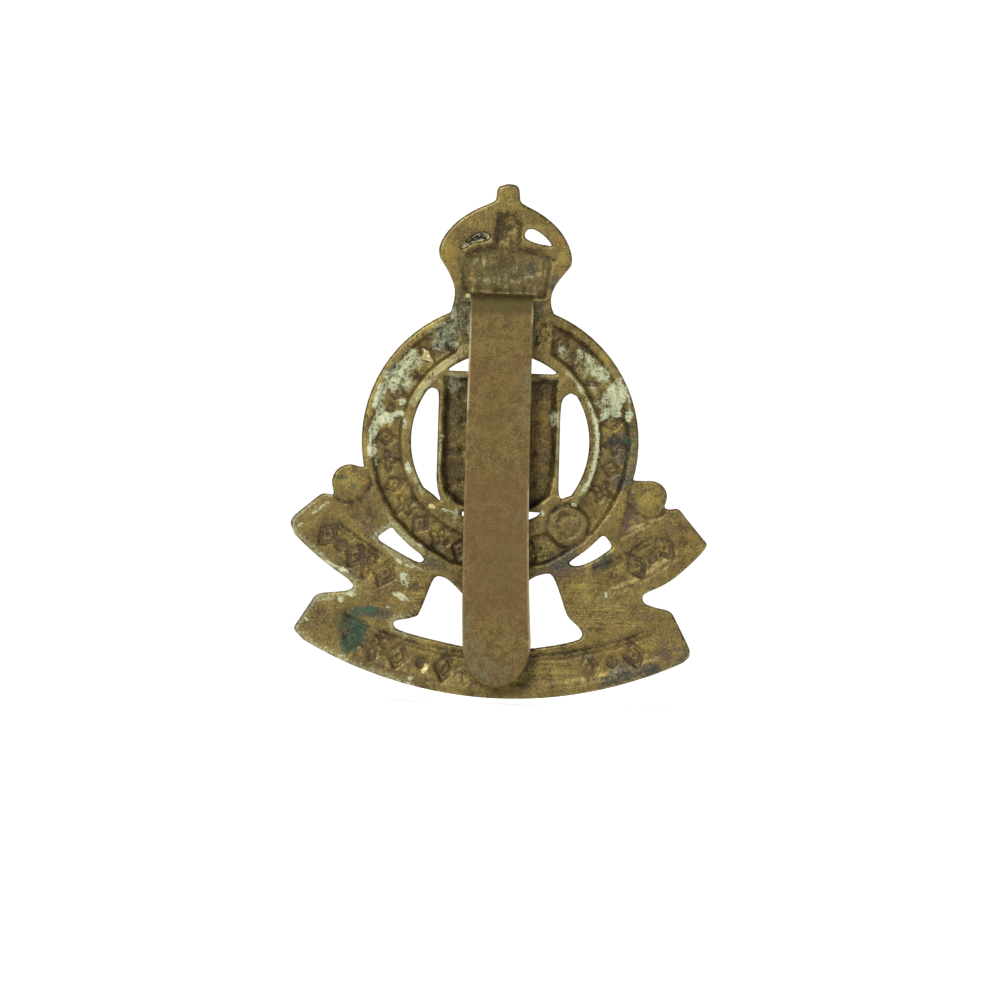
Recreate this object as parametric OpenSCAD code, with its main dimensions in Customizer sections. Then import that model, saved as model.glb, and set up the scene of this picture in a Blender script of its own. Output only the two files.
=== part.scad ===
// Cap badge: a pierced, die-struck brass plate with a folded brass slider brazed to its back.
// The face looks along -Y, with X to its right and Z up. The origin is the middle of the ring,
// on the plane of the plate's back.

/* [Plate] */
// Width over the tips of the upper scrolls
badge_w = 38.8; // [31:0.1:47]
// Height from the finial to the foot of the lower scroll
badge_h = 48; // [39:0.1:58]
// Thickness of the sheet at its flat border
sheet_t = 0.9; // [0.6:0.05:1.2]
// Outer radius of the ring
ring_r = 12.9; // [12.3:0.1:13.5]
// Width of the flat flange round the ring's face
flange_w = 0.75; // [0.5:0.05:1]
// Inner radius of the ring
ring_bore_r = 8.3; // [7.8:0.05:8.8]
// Width of each of the ring's two raised rims
rim_w = 0.45; // [0.3:0.05:0.6]
// Width of the border lines along the scrolls
line_w = 0.35; // [0.2:0.05:0.5]

/* [Relief] */
// How far the ring's face stands in front of the border
ring_rise = 0.55; // [0.3:0.05:0.9]
// How far the shield stands in front of the border
shield_rise = 0.9; // [0.5:0.05:1.3]
// How far the crown stands in front of the border
crown_rise = 0.7; // [0.4:0.05:1.1]
// How far the scrolls stand in front of the border
scroll_rise = 0.4; // [0.2:0.05:0.7]
// How far the scroll curls stand in front of the border
curl_rise = 0.6; // [0.3:0.05:0.9]
// Height of the border lines and small ornaments on each of those faces
line_rise = 0.3; // [0.15:0.05:0.5]
// How much shallower each hollow in the back is than the rise in front of it
strike_loss = 0.1; // [0.05:0.05:0.2]
// Width of the flat border left round each hollow in the back
border_w = 0.95; // [0.7:0.05:1.2]
// Number of places for an ornament round the ring
ring_places = 30; // [20:1:36]

/* [Slider] */
// Thickness of the slider's strip
strip_t = 0.75; // [0.5:0.05:1]
// Width of the strip at the fold
strip_w = 5.86; // [4.8:0.02:7]
// Width of the strip at its rounded tip
tip_w = 6.36; // [5:0.02:7.4]
// Length of the rounded tip, from where it starts to narrow
tip_l = 4.3; // [2.6:0.1:5]
// Inside radius of the fold
fold_r = 0.45; // [0.3:0.05:0.8]
// Length of the foot that is brazed to the plate, below the fold
foot_l = 4; // [3:0.1:4.1]
// How far the slider leans towards -X, in degrees
slider_lean = 0.5; // [0:0.05:2]
// How far the blade is bowed sideways at its tip, beyond that lean
tip_drift = 0.46; // [0:0.02:0.8]
// Gap between the tip of the blade and the foot of the lower scroll
tip_margin = 1.1; // [0.6:0.05:2.5]
// Thickness of the braze under the foot
braze_t = 0.15; // [0.05:0.05:0.3]
// Radial clearance at the line where the blade flexes
flex_clearance = 0.04; // [0.02:0.01:0.08]

/* [Hidden] */

$fn = 48;
bite = 0.3;           // how deep a raised piece is sunk into the face under it
through = 4;          // how far the cutters run past the sheet
fine = 24;            // sides of a round ornament
brass = [0.62, 0.53, 0.28];
strip_brass = [0.55, 0.47, 0.29];
braze_grey = [0.42, 0.41, 0.33];

// The pattern is drawn on a plan of this size, and place() fits it to badge_w by badge_h.
plan_w = 38.8;
plan_h = 48;
kx = badge_w / plan_w;
kz = badge_h / plan_h;
function place(points) = [for (p = points) [p[0] * kx, p[1] * kz]];

// Points along a circular arc, both ends included.
function arc(centre, r, from, to, steps) =
    [for (i = [0:steps]) let (a = from + (to - from) * i / steps)
        [centre[0] + r * cos(a), centre[1] + r * sin(a)]];

// One point of a Catmull-Rom curve between b and c.
function curve_point(a, b, c, d, t) =
    0.5 * ((2 * b) + (c - a) * t + (2 * a - 5 * b + 4 * c - d) * t * t
        + (3 * b - a - 3 * c + d) * t * t * t);

// A smooth curve through points. An open one stops at its last point.
function curve(points, steps = 2) =
    let (last = len(points) - 1)
    concat(
        [for (i = [0:last - 1], s = [0:steps - 1])
            curve_point(points[max(i - 1, 0)], points[i], points[i + 1],
                points[min(i + 2, last)], s / steps)],
        [points[last]]);

// A smooth closed curve through points.
function loop(points, steps = 2) =
    let (n = len(points))
    [for (i = [0:n - 1], s = [0:steps - 1])
        curve_point(points[(i + n - 1) % n], points[i], points[(i + 1) % n],
            points[(i + 2) % n], s / steps)];

// A round outline.
function disc(centre, r) = arc(centre, r, 0, 350, 35);

// The closed outline of a band between two radii of one centre.
function band(centre, r_in, r_out, from, to, steps = 24) =
    concat(arc(centre, r_out, from, to, steps), arc(centre, r_in, to, from, steps));

// Points drawn about a middle and shrunk towards it.
function inset(points, middle, share) = [for (p = points) middle + (p - middle) * share];
function reversed(points) = [for (i = [len(points) - 1:-1:0]) points[i]];

// --- the plan ---

lower_centre = [-0.85, 14.07];     // the lower scroll bends about this point
lower_r = [33.3, 38];
lower_span = [243.4, 299];
upper_centre = [0, 9.68];         // and the upper scrolls about this one
upper_r = [22.35, 26.85];
upper_spans = [[226.5, 250], [290, 313.5]];
crown_middle = [0.15, 17];
stud_middle = [-6.6, -7.6];        // the round stud on the ring
stud_r = 1.75;

// Each curl of the upper scrolls: its middle and its radius.
curls = [[-14.1, -4.65], [13.9, -4.25]];
curl_r = 1.6;

crown_outline = concat(
    curve([[0.2, 24], [-0.55, 23.91], [-0.88, 23.53], [-0.98, 22.68], [-1.2, 22.23], [-2.2, 21.73],
        [-3.2, 21.18], [-4.2, 20.43], [-5.05, 19.53], [-5.7, 18.43], [-6.02, 17.38], [-6, 16.68]]),
    curve([[-5.9, 16.48], [-4.9, 15.18], [-4.4, 14.28], [-4.22, 13.48], [-4.3, 12.68], [-4.6, 11.98]]),
    [[-5.6, 10.88], [5.8, 10.88]],
    curve([[5, 12.03], [4.85, 12.78], [4.75, 13.58], [4.9, 14.48], [5.35, 15.48], [5.85, 16.28]]),
    curve([[6.25, 16.88], [6.4, 17.68], [6.15, 18.53], [5.6, 19.43], [4.8, 20.33], [3.9, 21.03],
        [2.8, 21.68], [1.6, 22.23], [1.25, 22.58], [1.2, 23.28], [1, 23.75]]));

scroll_outline = concat(
    [[-11.6, -3.14], [-13.2, -3.14]],
    curve([[-13.6, -3.14], [-14.4, -3.12], [-15.15, -3.42], [-15.65, -4.07], [-15.72, -4.72],
        [-15.52, -5.42]]),
    curve([[-15.65, -5.64], [-16.1, -5.7], [-16.6, -5.6], [-17, -5.77], [-17.5, -6.37]]),
    curve([[-19.3, -8.42], [-19.6, -8.77], [-19.45, -9.27], [-18.9, -9.97]]),
    curve([[-18, -10.9], [-17, -11.85], [-16, -12.6], [-15.2, -13.05], [-14.35, -13.45], [-13.95, -13.72],
        [-13.84, -13.97], [-13.9, -14.37], [-14.25, -14.64], [-15.2, -14.92],
        [-16.1, -15.08], [-16.6, -15.37], [-16.95, -15.92]]),
    curve([[-18.15, -18.17], [-18.42, -18.82], [-18.36, -19.4]]),
    arc(lower_centre, lower_r[1], lower_span[0], lower_span[1], 28),
    curve([[18.2, -18.6], [18.52, -18.15], [18.42, -17.82]]),
    curve([[17, -15.52], [16.7, -15.04], [16.2, -14.75], [15, -14.59], [13.9, -14.44], [13.35, -14.24],
        [13.15, -13.92], [13.4, -13.62]]),
    arc(upper_centre, 26.75, 301, 314.5, 6),
    curve([[19.05, -8.77], [19.2, -8.37], [19.1, -7.92], [18.75, -7.47], [17.6, -6.47], [16.6, -5.62],
        [16.1, -5.45], [15.4, -5.52]]),
    curve([[15.28, -5.32], [15.5, -4.52], [15.42, -3.82], [15.05, -3.17], [14.4, -2.75], [13.7, -2.66],
        [13.1, -2.82]]),
    [[11.6, -2.92], [9, -8.42], [0, -12.02], [-9, -8.42]]);

// The openings that are pierced through the plate. Those beside the ring follow its edges.
lens_left = concat(arc([0, 0], ring_bore_r, 147, 215, 16),
    curve([[-6.3, -4.95], [-5.95, -5.1], [-5.7, -4.87], [-5.6, -4.02]]),
    curve([[-5.52, 2.08], [-5.56, 3.68], [-5.85, 4.38], [-6.4, 4.74]]));
lens_right = concat(arc([0, 0], ring_bore_r, 327, 393, 16),
    curve([[6.6, 4.78], [6.05, 4.6], [5.88, 3.98], [5.86, 2.58]]),
    curve([[5.8, -3.62], [5.62, -4.82], [5.36, -5.52], [5.45, -5.67], [6, -5.17]]));
gap_left = concat(arc([0, 0], ring_r, 221.5, 236, 6),
    curve([[-6.9, -11], [-7.05, -11.24], [-7.8, -11.27], [-9, -10.77], [-10.3, -9.87], [-10.75, -9.32],
        [-10.25, -8.57], [-9.95, -8.38]]));
gap_right = concat(arc([0, 0], ring_r - 0.05, 319, 303, 6),
    curve([[6.65, -11.25], [6.95, -11.52], [7.6, -11.37], [8.9, -10.72], [10.2, -10.02], [11.05, -9.44],
        [10.6, -8.92], [9.9, -8.42]]));
crown_eye_left = loop([[-4, 18.36], [-4.02, 18.6], [-3.5, 19.18], [-2.9, 19.63], [-2.3, 19.9],
    [-1.8, 19.82], [-1.56, 19.43], [-1.65, 19], [-2.2, 18.73], [-3, 18.5], [-3.6, 18.44]]);
crown_eye_right = loop([[4.28, 17.78], [4.3, 18.08], [3.7, 18.63], [3.1, 19.13], [2.5, 19.38], [2, 19.33],
    [1.75, 19.03], [1.95, 18.7], [2.6, 18.58], [3.3, 18.38], [3.85, 18.03]]);
well_left = loop([[-4.9, -12.12], [-5.3, -12.27], [-5.7, -12.92], [-6.25, -14.32], [-6.7, -15.57],
    [-7.1, -16.22], [-7.9, -16.92], [-8.32, -17.52], [-8.22, -17.97], [-7.6, -18.3], [-5.9, -18.74],
    [-3.6, -19.14], [-2.3, -19.27], [-1.95, -18.92], [-2.15, -16.92], [-2.4, -14.82], [-2.75, -13.42],
    [-3.4, -12.67], [-4.1, -12.32]]);
well_right = loop([[5.05, -12.77], [5.5, -12.84], [5.85, -13.37], [6.4, -14.92], [6.9, -16.22],
    [7.2, -16.57], [8.1, -16.84], [9, -17.02], [9.27, -17.27], [9.05, -17.72], [8, -18.12], [5.6, -18.67],
    [2.8, -19.18], [1.6, -19.32], [1.35, -18.92], [1.55, -17.12], [2, -15.62], [2.6, -14.72],
    [3.4, -13.87], [4.3, -13.07]]);
slit_top = concat(arc([0, 0], ring_bore_r, 51.5, 126.5, 12),
    [[-4.98, 6.53], [-4.8, 6.44], [4.75, 6.42], [5.1, 6.44]]);
slit_bottom = concat(arc([0, 0], ring_bore_r - 0.55, 242, 295, 10),
    [[3.3, -6.72], [2.8, -6.44], [-3, -6.44], [-4, -6.48]]);
pierced = [lens_left, lens_right, gap_left, gap_right, crown_eye_left, crown_eye_right, well_left,
    well_right, slit_top, slit_bottom];

// The shield, which hangs in the ring's bore.
shield_outline = [[-5.55, 6.48], [-2.8, 6.18], [0.15, 6.33], [3.1, 6.18], [5.9, 6.48], [5.7, 5.18],
    [5.8, 2.58], [5.82, -3.02], [5.3, -5.32], [3.8, -6.52], [0.15, -7.02], [-3.6, -6.52], [-5.1, -5.32],
    [-5.55, -3.02], [-5.5, 2.58], [-5.4, 5.18]];
shield_middle = [0.15, -0.2];
shield_border = 0.9;  // the raised border lies outside this share of the outline
pellet_r = 0.75;
pellets = [[-3.25, 4.33], [0.15, 4.33], [3.55, 4.33]];
bar_z = [1.8, -1, -3.8];
bar_half = 3.6;
bar_h = 1;

// The crown's parts: a band of the circlet, a middle arch and two side arches.
circlet = concat(
    curve([[-3.7, 14.03], [-1.8, 13.78], [0.15, 13.7], [2.1, 13.78], [4, 14.03]]),
    curve([[4.55, 16.48], [3.2, 17.13], [1.8, 17.48], [0.15, 17.63], [-1.5, 17.48], [-2.9, 17.13],
        [-4.25, 16.48]]));
circlet_middle = [0.15, 15.7];
side_arch = [[-4.75, 16.68], [-5.15, 17.48], [-4.9, 18.48], [-4.2, 19.48], [-3.2, 20.33], [-2, 21.03],
    [-1, 21.48]];
arch_w = 0.85;
middle_arch_w = 1.7;
middle_arch_z = [17.4, 21.9];
pillar_z = [18.2, 21.6];   // the hollow behind the middle arch
finial_z = 23.05;
finial_r = 0.8;
circlet_studs = [for (i = [-2.5:2.5]) circlet_middle + [1.2 * i, -0.35]];
pearl_r = 0.33;

// Round and four-sided ornaments take turns: the radius of each on the ring and on the scrolls.
ring_marks = [0.7, 0.48];
scroll_marks = [0.8, 0.5];

// --- derived sizes of the slider ---

fold_top = 13.72 * kz;
fold_outer = fold_r + strip_t;
foot_y = braze_t;
blade_y = foot_y + strip_t + 2 * fold_r;
fold_z = fold_top - fold_outer;
flex_y = blade_y + strip_t / 2;
slider_x = 0.33;
blade_l = fold_z + badge_h / 2 - tip_margin - tip_l;   // down to where the tip starts to narrow
seat_half = 4.5;      // half the width of the flat seat left on the back for the foot

// --- building blocks ---

// An outline in X and Z made solid between two depths, counted from the back plane to the front.
module struck(from, to) {
    translate([0, -from, 0]) rotate([90, 0, 0]) linear_extrude(height = to - from) children();
}

module outline(points) {
    polygon(place(points));
}

// A ring band as an outline with a hole.
module ring_band(r_in, r_out) {
    difference() {
        outline(arc([0, 0], r_out, 0, 355, 71));
        outline(arc([0, 0], r_in, 0, 354, 59));
    }
}

// A strip of even width that follows a curve.
function ribbon(points, w) =
    let (n = len(points),
        side = [for (i = [0:n - 1])
            let (d = points[min(i + 1, n - 1)] - points[max(i - 1, 0)], l = norm(d))
            [-d[1] / l, d[0] / l] * w / 2])
    concat([for (i = [0:n - 1]) points[i] + side[i]],
        reversed([for (i = [0:n - 1]) points[i] - side[i]]));

function across_crown(points) = [for (p = points) [2 * crown_middle[0] - p[0], p[1]]];

// A small boss, round or four-sided, that stands in front of a face.
module boss(at, r, level, sides = fine) {
    translate([at[0] * kx, -level + bite, at[1] * kz])
        rotate([90, 0, 0]) cylinder(r = r, h = bite + line_rise, $fn = sides);
}

// One of a row of ornaments that take turns, four-sided at the even places and round at the odd ones.
module mark(i, at, radii, level) {
    even = i % 2 == 0;
    boss(at, even ? radii[0] : radii[1], level, even ? 4 : fine);
}

// --- the plate ---

module sheet() {
    struck(0, sheet_t) outline(crown_outline);
    struck(0, sheet_t) outline(scroll_outline);
    struck(0, sheet_t) outline(arc([0, 0], ring_r, 0, 355, 71));
}

module ring_relief() {
    face = sheet_t + ring_rise;
    struck(sheet_t - bite, face) ring_band(ring_bore_r - bite, ring_r - flange_w);
    for (r = [ring_bore_r + bite, ring_r - flange_w - rim_w - 0.05])
        struck(face - bite, face + line_rise) ring_band(r, r + rim_w);
    for (i = [0:ring_places - 1]) {
        a = 90 + 360 * (i + 0.5) / ring_places;
        at = (ring_r + ring_bore_r) / 2 * [cos(a), sin(a)];
        if (norm(at - stud_middle) > stud_r + 1.4 * ring_marks[0]) mark(i, at, ring_marks, face);
    }
    boss(stud_middle, stud_r, face, 2 * fine);
    boss(stud_middle, stud_r / 2, face + line_rise, 2 * fine);
}

module shield_relief() {
    face = sheet_t + shield_rise;
    struck(sheet_t - bite, face) outline(shield_outline);
    struck(face - bite, face + line_rise) difference() {
        outline(shield_outline);
        outline(inset(shield_outline, shield_middle, shield_border));
    }
    for (p = pellets) boss(p, pellet_r, face);
    for (z = bar_z) struck(face - bite, face + line_rise) shield_bar(z);
}

module shield_bar(z) {
    middle = shield_middle[0];
    outline([[middle - bar_half, z - bar_h / 2], [middle + bar_half, z - bar_h / 2],
        [middle + bar_half, z + bar_h / 2], [middle - bar_half, z + bar_h / 2]]);
}

module crown_relief() {
    face = sheet_t + crown_rise;
    body = inset(crown_outline, crown_middle, 0.86);
    struck(sheet_t - bite, face) intersection() {
        outline(body);
        outline([[-7, 13.9], [7, 13.9], [7, 25], [-7, 25]]);
    }
    struck(face - bite, face + line_rise) outline(circlet);
    for (s = circlet_studs) boss(s, 0.4, face + line_rise, 4);
    for (line = [side_arch, across_crown(side_arch)]) {
        smooth = curve(line);
        struck(face - bite, face + line_rise) outline(ribbon(smooth, arch_w));
        for (i = [2:2:len(smooth) - 2]) boss(smooth[i], pearl_r, face + line_rise, 16);
    }
    struck(face - bite, face + 1.4 * line_rise) outline([
        for (s = [[-1, 0], [1, 0], [0.8, 1], [-0.8, 1]])
            [crown_middle[0] + s[0] * middle_arch_w / 2, middle_arch_z[s[1]]]]);
    for (i = [0, 1])
        boss([crown_middle[0], finial_z], finial_r * (1 - 0.4 * i), sheet_t + i * line_rise);
}

// The middle of a scroll's width at an angle.
function on_scroll(centre, radii, a) = centre + (radii[0] + radii[1]) / 2 * [cos(a), sin(a)];

// Each raised stretch of scroll: the middle it bends about, its two radii and its two angles.
scroll_bands = [
    [lower_centre, lower_r, [lower_span[0] + 1.6, lower_span[1] - 1.6]],
    [upper_centre, upper_r, [upper_spans[0][0] + 2, upper_spans[0][1] - 2]],
    [upper_centre, upper_r, [upper_spans[1][0] + 2, upper_spans[1][1] - 2]]];

module scroll_relief() {
    face = sheet_t + scroll_rise;
    for (b = scroll_bands) {
        struck(sheet_t - bite, face) outline(band(b[0], b[1][0] + 0.3, b[1][1] - 0.5, b[2][0], b[2][1]));
        for (r = [b[1][0] + 0.3, b[1][1] - 0.5 - line_w])
            struck(face - bite, face + line_rise) outline(band(b[0], r, r + line_w, b[2][0], b[2][1]));
    }
    for (i = [-6:6]) mark(i, on_scroll(lower_centre, lower_r, 271.2 + i * 3.6), scroll_marks, face);
    for (side = [-1, 1], i = [0:4])
        mark(i, on_scroll(upper_centre, upper_r, 270 + side * (24.6 + i * 3.75)), scroll_marks, face);
    for (c = curls)
        struck(sheet_t - bite, sheet_t + curl_rise) outline(disc(c, curl_r - 0.45));
}

// The hollows in the back. Each lies behind a raised face, with the flat border left round it.
module hollows() {
    struck(-through, ring_rise - strike_loss) difference() {
        ring_band(ring_bore_r + border_w, ring_r - border_w);
        outline([for (s = [-1, 1]) [s * seat_half / kx, ring_bore_r - bite],
            for (s = [1, -1]) [s * seat_half / kx, ring_r + bite]]);
        outline(disc(stud_middle, stud_r + 0.35));
    }
    struck(-through, line_rise - strike_loss) outline(disc(stud_middle, stud_r - 0.3));
    struck(-through, shield_rise - strike_loss)
        outline(inset(shield_outline, shield_middle, shield_border - 0.06));
    struck(-through, crown_rise - strike_loss) {
        outline(inset(circlet, circlet_middle, 0.9));
        outline([for (s = [[-0.4, 0], [0.4, 0], [0.3, 1], [-0.3, 1]])
            [crown_middle[0] + s[0] * middle_arch_w, pillar_z[s[1]]]]);
    }
    struck(-through, curl_rise - strike_loss) for (c = curls) outline(disc(c, curl_r - 0.65));
    struck(-through, scroll_rise - strike_loss) for (b = scroll_bands)
        outline(band(b[0], b[1][0] + border_w, b[1][1] - border_w, b[2][0] + 1, b[2][1] - 1));
}

module badge_plate() {
    color(brass) difference() {
        union() {
            sheet();
            ring_relief();
            shield_relief();
            crown_relief();
            scroll_relief();
        }
        hollows();
        for (hole = pierced) struck(-through, through) outline(hole);
    }
}

// --- the slider and its braze ---

// Stands its children at the slider's place, with the flex line along X through the origin.
module at_slider() {
    translate([slider_x, 0, fold_z]) rotate([0, slider_lean, 0]) children();
}

// A round bar along X that the flex line passes through the middle of.
module flex_round(r, w) {
    translate([-w / 2, flex_y, 0]) rotate([0, 90, 0]) cylinder(r = r, h = w);
}

// The foot lies on the braze, and the strip folds over at its top to meet the blade.
module slider_foot() {
    color(strip_brass) at_slider() {
        translate([-strip_w / 2, foot_y, -foot_l]) cube([strip_w, strip_t, foot_l]);
        difference() {
            intersection() {
                translate([-strip_w / 2, foot_y + strip_t + fold_r, 0])
                    rotate([0, 90, 0]) cylinder(r = fold_outer, h = strip_w);
                translate([-strip_w, 0, 0]) cube([2 * strip_w, 2 * blade_y, 2 * fold_outer]);
            }
            translate([-strip_w, foot_y + strip_t + fold_r, 0])
                rotate([0, 90, 0]) cylinder(r = fold_r, h = 2 * strip_w);
            flex_round(strip_t / 2 + flex_clearance, 2 * strip_w);
        }
    }
}

// A point on one side of the blade, a share s of the way down to where the tip narrows.
function blade_edge(s, side) =
    [side * (strip_w + (tip_w - strip_w) * s * s) / 2 - tip_drift * pow(s, 4), -s * blade_l];

// The blade hangs from the flex line, widens and bows a little, and ends in a rounded tip.
module slider_blade() {
    color(strip_brass) at_slider() {
        flex_round(strip_t / 2, strip_w);
        translate([0, blade_y + strip_t, 0]) rotate([90, 0, 0]) linear_extrude(height = strip_t)
            polygon(concat(
                [for (s = [0:0.125:1]) blade_edge(s, -1)],
                [for (a = [188:8:352]) [tip_w / 2 * cos(a) - tip_drift, tip_l * sin(a) - blade_l]],
                [for (s = [1:-0.125:0]) blade_edge(s, 1)]));
    }
}

// The braze runs out past the foot, more on one side than the other.
module braze_joint() {
    side = strip_w / 2;
    run_out = seat_half - side - slider_x;
    color(braze_grey) at_slider() translate([0, braze_t, 0]) rotate([90, 0, 0])
        linear_extrude(height = braze_t) polygon(loop([
            [-side - 0.15, 0.3], [-side - 0.3, -1.4], [-side - 0.1, -foot_l + 0.5],
            [-side / 2, -foot_l - 0.08],
            [side / 2, -foot_l - 0.08], [side + 0.2, -foot_l + 0.5], [side + 0.75 * run_out, -2.6],
            [side + run_out, -1.2], [side + 0.8 * run_out, 0.2], [side + 0.2, 0.75], [0, 0.45]]));
}

badge_plate();
slider_foot();
slider_blade();
braze_joint();
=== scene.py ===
"""The looks of a die-struck brass cap badge: its pierced plate, folded slider and braze."""

import logging
import math
from collections.abc import Sequence
from dataclasses import dataclass, field
from enum import Enum

import bmesh
import bpy
import numpy as np
from mathutils import Matrix, Vector, noise
from mathutils.kdtree import KDTree

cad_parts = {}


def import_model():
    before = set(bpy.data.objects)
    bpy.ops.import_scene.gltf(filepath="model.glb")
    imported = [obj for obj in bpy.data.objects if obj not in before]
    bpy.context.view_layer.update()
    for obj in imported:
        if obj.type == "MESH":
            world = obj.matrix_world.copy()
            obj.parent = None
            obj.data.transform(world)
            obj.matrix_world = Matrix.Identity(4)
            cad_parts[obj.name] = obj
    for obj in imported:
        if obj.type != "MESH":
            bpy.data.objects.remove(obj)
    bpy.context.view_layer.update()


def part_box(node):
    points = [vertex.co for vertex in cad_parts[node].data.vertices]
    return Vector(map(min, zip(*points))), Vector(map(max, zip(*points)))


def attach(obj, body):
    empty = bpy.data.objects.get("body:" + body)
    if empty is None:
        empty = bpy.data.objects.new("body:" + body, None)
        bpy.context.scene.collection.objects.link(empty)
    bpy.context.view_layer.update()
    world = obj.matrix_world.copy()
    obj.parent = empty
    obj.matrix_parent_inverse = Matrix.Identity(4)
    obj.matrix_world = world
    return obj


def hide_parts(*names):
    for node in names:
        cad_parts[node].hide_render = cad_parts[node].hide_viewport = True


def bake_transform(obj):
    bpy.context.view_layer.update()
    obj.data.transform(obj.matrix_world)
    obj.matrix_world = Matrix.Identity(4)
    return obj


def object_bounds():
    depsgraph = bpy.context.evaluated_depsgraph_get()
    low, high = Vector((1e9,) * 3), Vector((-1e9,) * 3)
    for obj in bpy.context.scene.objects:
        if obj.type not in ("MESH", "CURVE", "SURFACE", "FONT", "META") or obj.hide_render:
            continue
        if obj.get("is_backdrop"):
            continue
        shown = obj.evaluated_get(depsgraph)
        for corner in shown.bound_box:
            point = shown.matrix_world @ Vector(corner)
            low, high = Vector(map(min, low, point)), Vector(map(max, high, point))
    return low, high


LOG = logging.getLogger("cap_badge")
MM = 0.001

Points = list[tuple[float, float]]
Place = tuple[float, float, float]
Colour = tuple[float, float, float]
Spot = tuple[float, float, float, float, float, float]
Arc = tuple[float, float, float, float, float]


# --- working on whole arrays of places, in millimetres ---


def smooth(distance: np.ndarray, width: float) -> np.ndarray:
    """A soft step.

    Args:
        distance: how far inside a border each place is.
        width: over how far the step rises.

    Returns:
        0 outside the border, 1 past the width, and a smooth rise between.
    """
    t = np.clip(distance / width, 0.0, 1.0)
    return t * t * (3.0 - 2.0 * t)


def groove(distance: np.ndarray, width: float, soft: float = 0.12) -> np.ndarray:
    """A soft-edged line of a width, about where the distance is 0."""
    return smooth(width / 2 + soft - np.abs(distance), soft)


def between(value: np.ndarray, low: float, high: float, soft: float) -> np.ndarray:
    """1 well between two values, with a soft slope inside each."""
    return smooth(value - low, soft) * smooth(high - value, soft)


def curve(points: Points, closed: bool = False, steps: int = 4) -> Points:
    """A smooth line through given points.

    Args:
        points: the places that the line passes.
        closed: whether it comes back to its first point.
        steps: how many short pieces each stretch is cut into.

    Returns:
        The finer line, as a list of places.
    """
    n = len(points)
    found: Points = []
    for i in range(n if closed else n - 1):
        ends = [points[j % n] if closed else points[min(max(j, 0), n - 1)] for j in range(i - 1, i + 3)]
        a, b, c, d = (np.array(p) for p in ends)
        for s in range(steps):
            t = s / steps
            p = 0.5 * (2 * b + (c - a) * t + (2 * a - 5 * b + 4 * c - d) * t * t
                       + (3 * b - a - 3 * c + d) * t ** 3)
            found.append((float(p[0]), float(p[1])))
    if not closed:
        found.append(points[-1])
    return found


def line_distance(x: np.ndarray, z: np.ndarray, line: Points, closed: bool = False) -> np.ndarray:
    """How far each place is from a broken line."""
    ends = line[1:] + line[:1] if closed else line[1:]
    best = np.full(x.shape, 1e9)
    for (ax, az), (bx, bz) in zip(line, ends):
        dx, dz = bx - ax, bz - az
        t = np.clip(((x - ax) * dx + (z - az) * dz) / max(dx * dx + dz * dz, 1e-12), 0, 1)
        best = np.minimum(best, np.hypot(x - ax - t * dx, z - az - t * dz))
    return best


def is_inside(x: np.ndarray, z: np.ndarray, starts: np.ndarray, ends: np.ndarray) -> np.ndarray:
    """Whether each place lies inside the loops that the segments make."""
    crossings = np.zeros(x.shape, int)
    for (ax, az), (bx, bz) in zip(starts, ends):
        if az == bz:
            continue
        spans = (az > z) != (bz > z)
        crossings += spans & (x < (bx - ax) * (z - az) / (bz - az) + ax)
    return crossings % 2 == 1


def depth_in(x: np.ndarray, z: np.ndarray, outline: Points) -> np.ndarray:
    """How far inside a closed outline each place is, below 0 outside it."""
    starts = np.array(outline)
    inside = is_inside(x, z, starts, np.roll(starts, -1, axis=0))
    return np.where(inside, 1.0, -1.0) * line_distance(x, z, outline, closed=True)


def shrunk(outline: Points, middle: tuple[float, float], share: float) -> Points:
    """An outline drawn in towards its middle."""
    return [(middle[0] + (px - middle[0]) * share, middle[1] + (pz - middle[1]) * share)
            for px, pz in outline]


def cloud(x: np.ndarray, z: np.ndarray, size: float, octaves: int = 3, shift: float = 0.0) -> np.ndarray:
    """Soft random lumps of about a size, from about -1 to 1, the same each time."""
    return np.array([noise.fractal(Vector((px / size, shift, pz / size)), 0.8, 2.0, octaves)
                     for px, pz in zip(x, z)])


def spots(x: np.ndarray, z: np.ndarray, ragged: np.ndarray, marks: Sequence[Spot],
          soft: float) -> np.ndarray:
    """Where the stains of one kind lie.

    Args:
        x, z: the places.
        ragged: lumps that fray the edge of each stain.
        marks: each stain's middle, half length, half width, turn in degrees and strength.
        soft: how gently a stain fades, as a share of its size.

    Returns:
        The strength of the stain at each place, 0 to 1.
    """
    total = np.zeros(x.shape)
    for mx, mz, long_half, wide_half, turn, strength in marks:
        c, s = math.cos(math.radians(turn)), math.sin(math.radians(turn))
        u = ((x - mx) * c + (z - mz) * s) / long_half
        v = ((z - mz) * c - (x - mx) * s) / wide_half
        total = np.maximum(total, strength * smooth(1.0 - np.hypot(u, v) + 0.45 * ragged, soft))
    return total


def arc_stains(x: np.ndarray, z: np.ndarray, ragged: np.ndarray, arcs: list[Arc]) -> np.ndarray:
    """Where the stains that follow the ring lie.

    Args:
        x, z: the places.
        ragged: lumps that fray the edge of each stain.
        arcs: each stain's radius, half width, first and last angle in degrees, and strength.

    Returns:
        The strength of the stain at each place, 0 to 1.
    """
    r, turn = np.hypot(x, z), np.degrees(np.arctan2(z, x))
    total = np.zeros(x.shape)
    for middle, half, first, last, strength in arcs:
        a = (turn - first) % 360 + first
        past = np.minimum(a - first, last - a) * middle * math.pi / 180
        across = smooth(1.0 - np.abs(r - middle) / half + 0.5 * ragged, 0.6)
        total = np.maximum(total, strength * (across * smooth(past + 0.5 * ragged, 0.8)))
    return total


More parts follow.
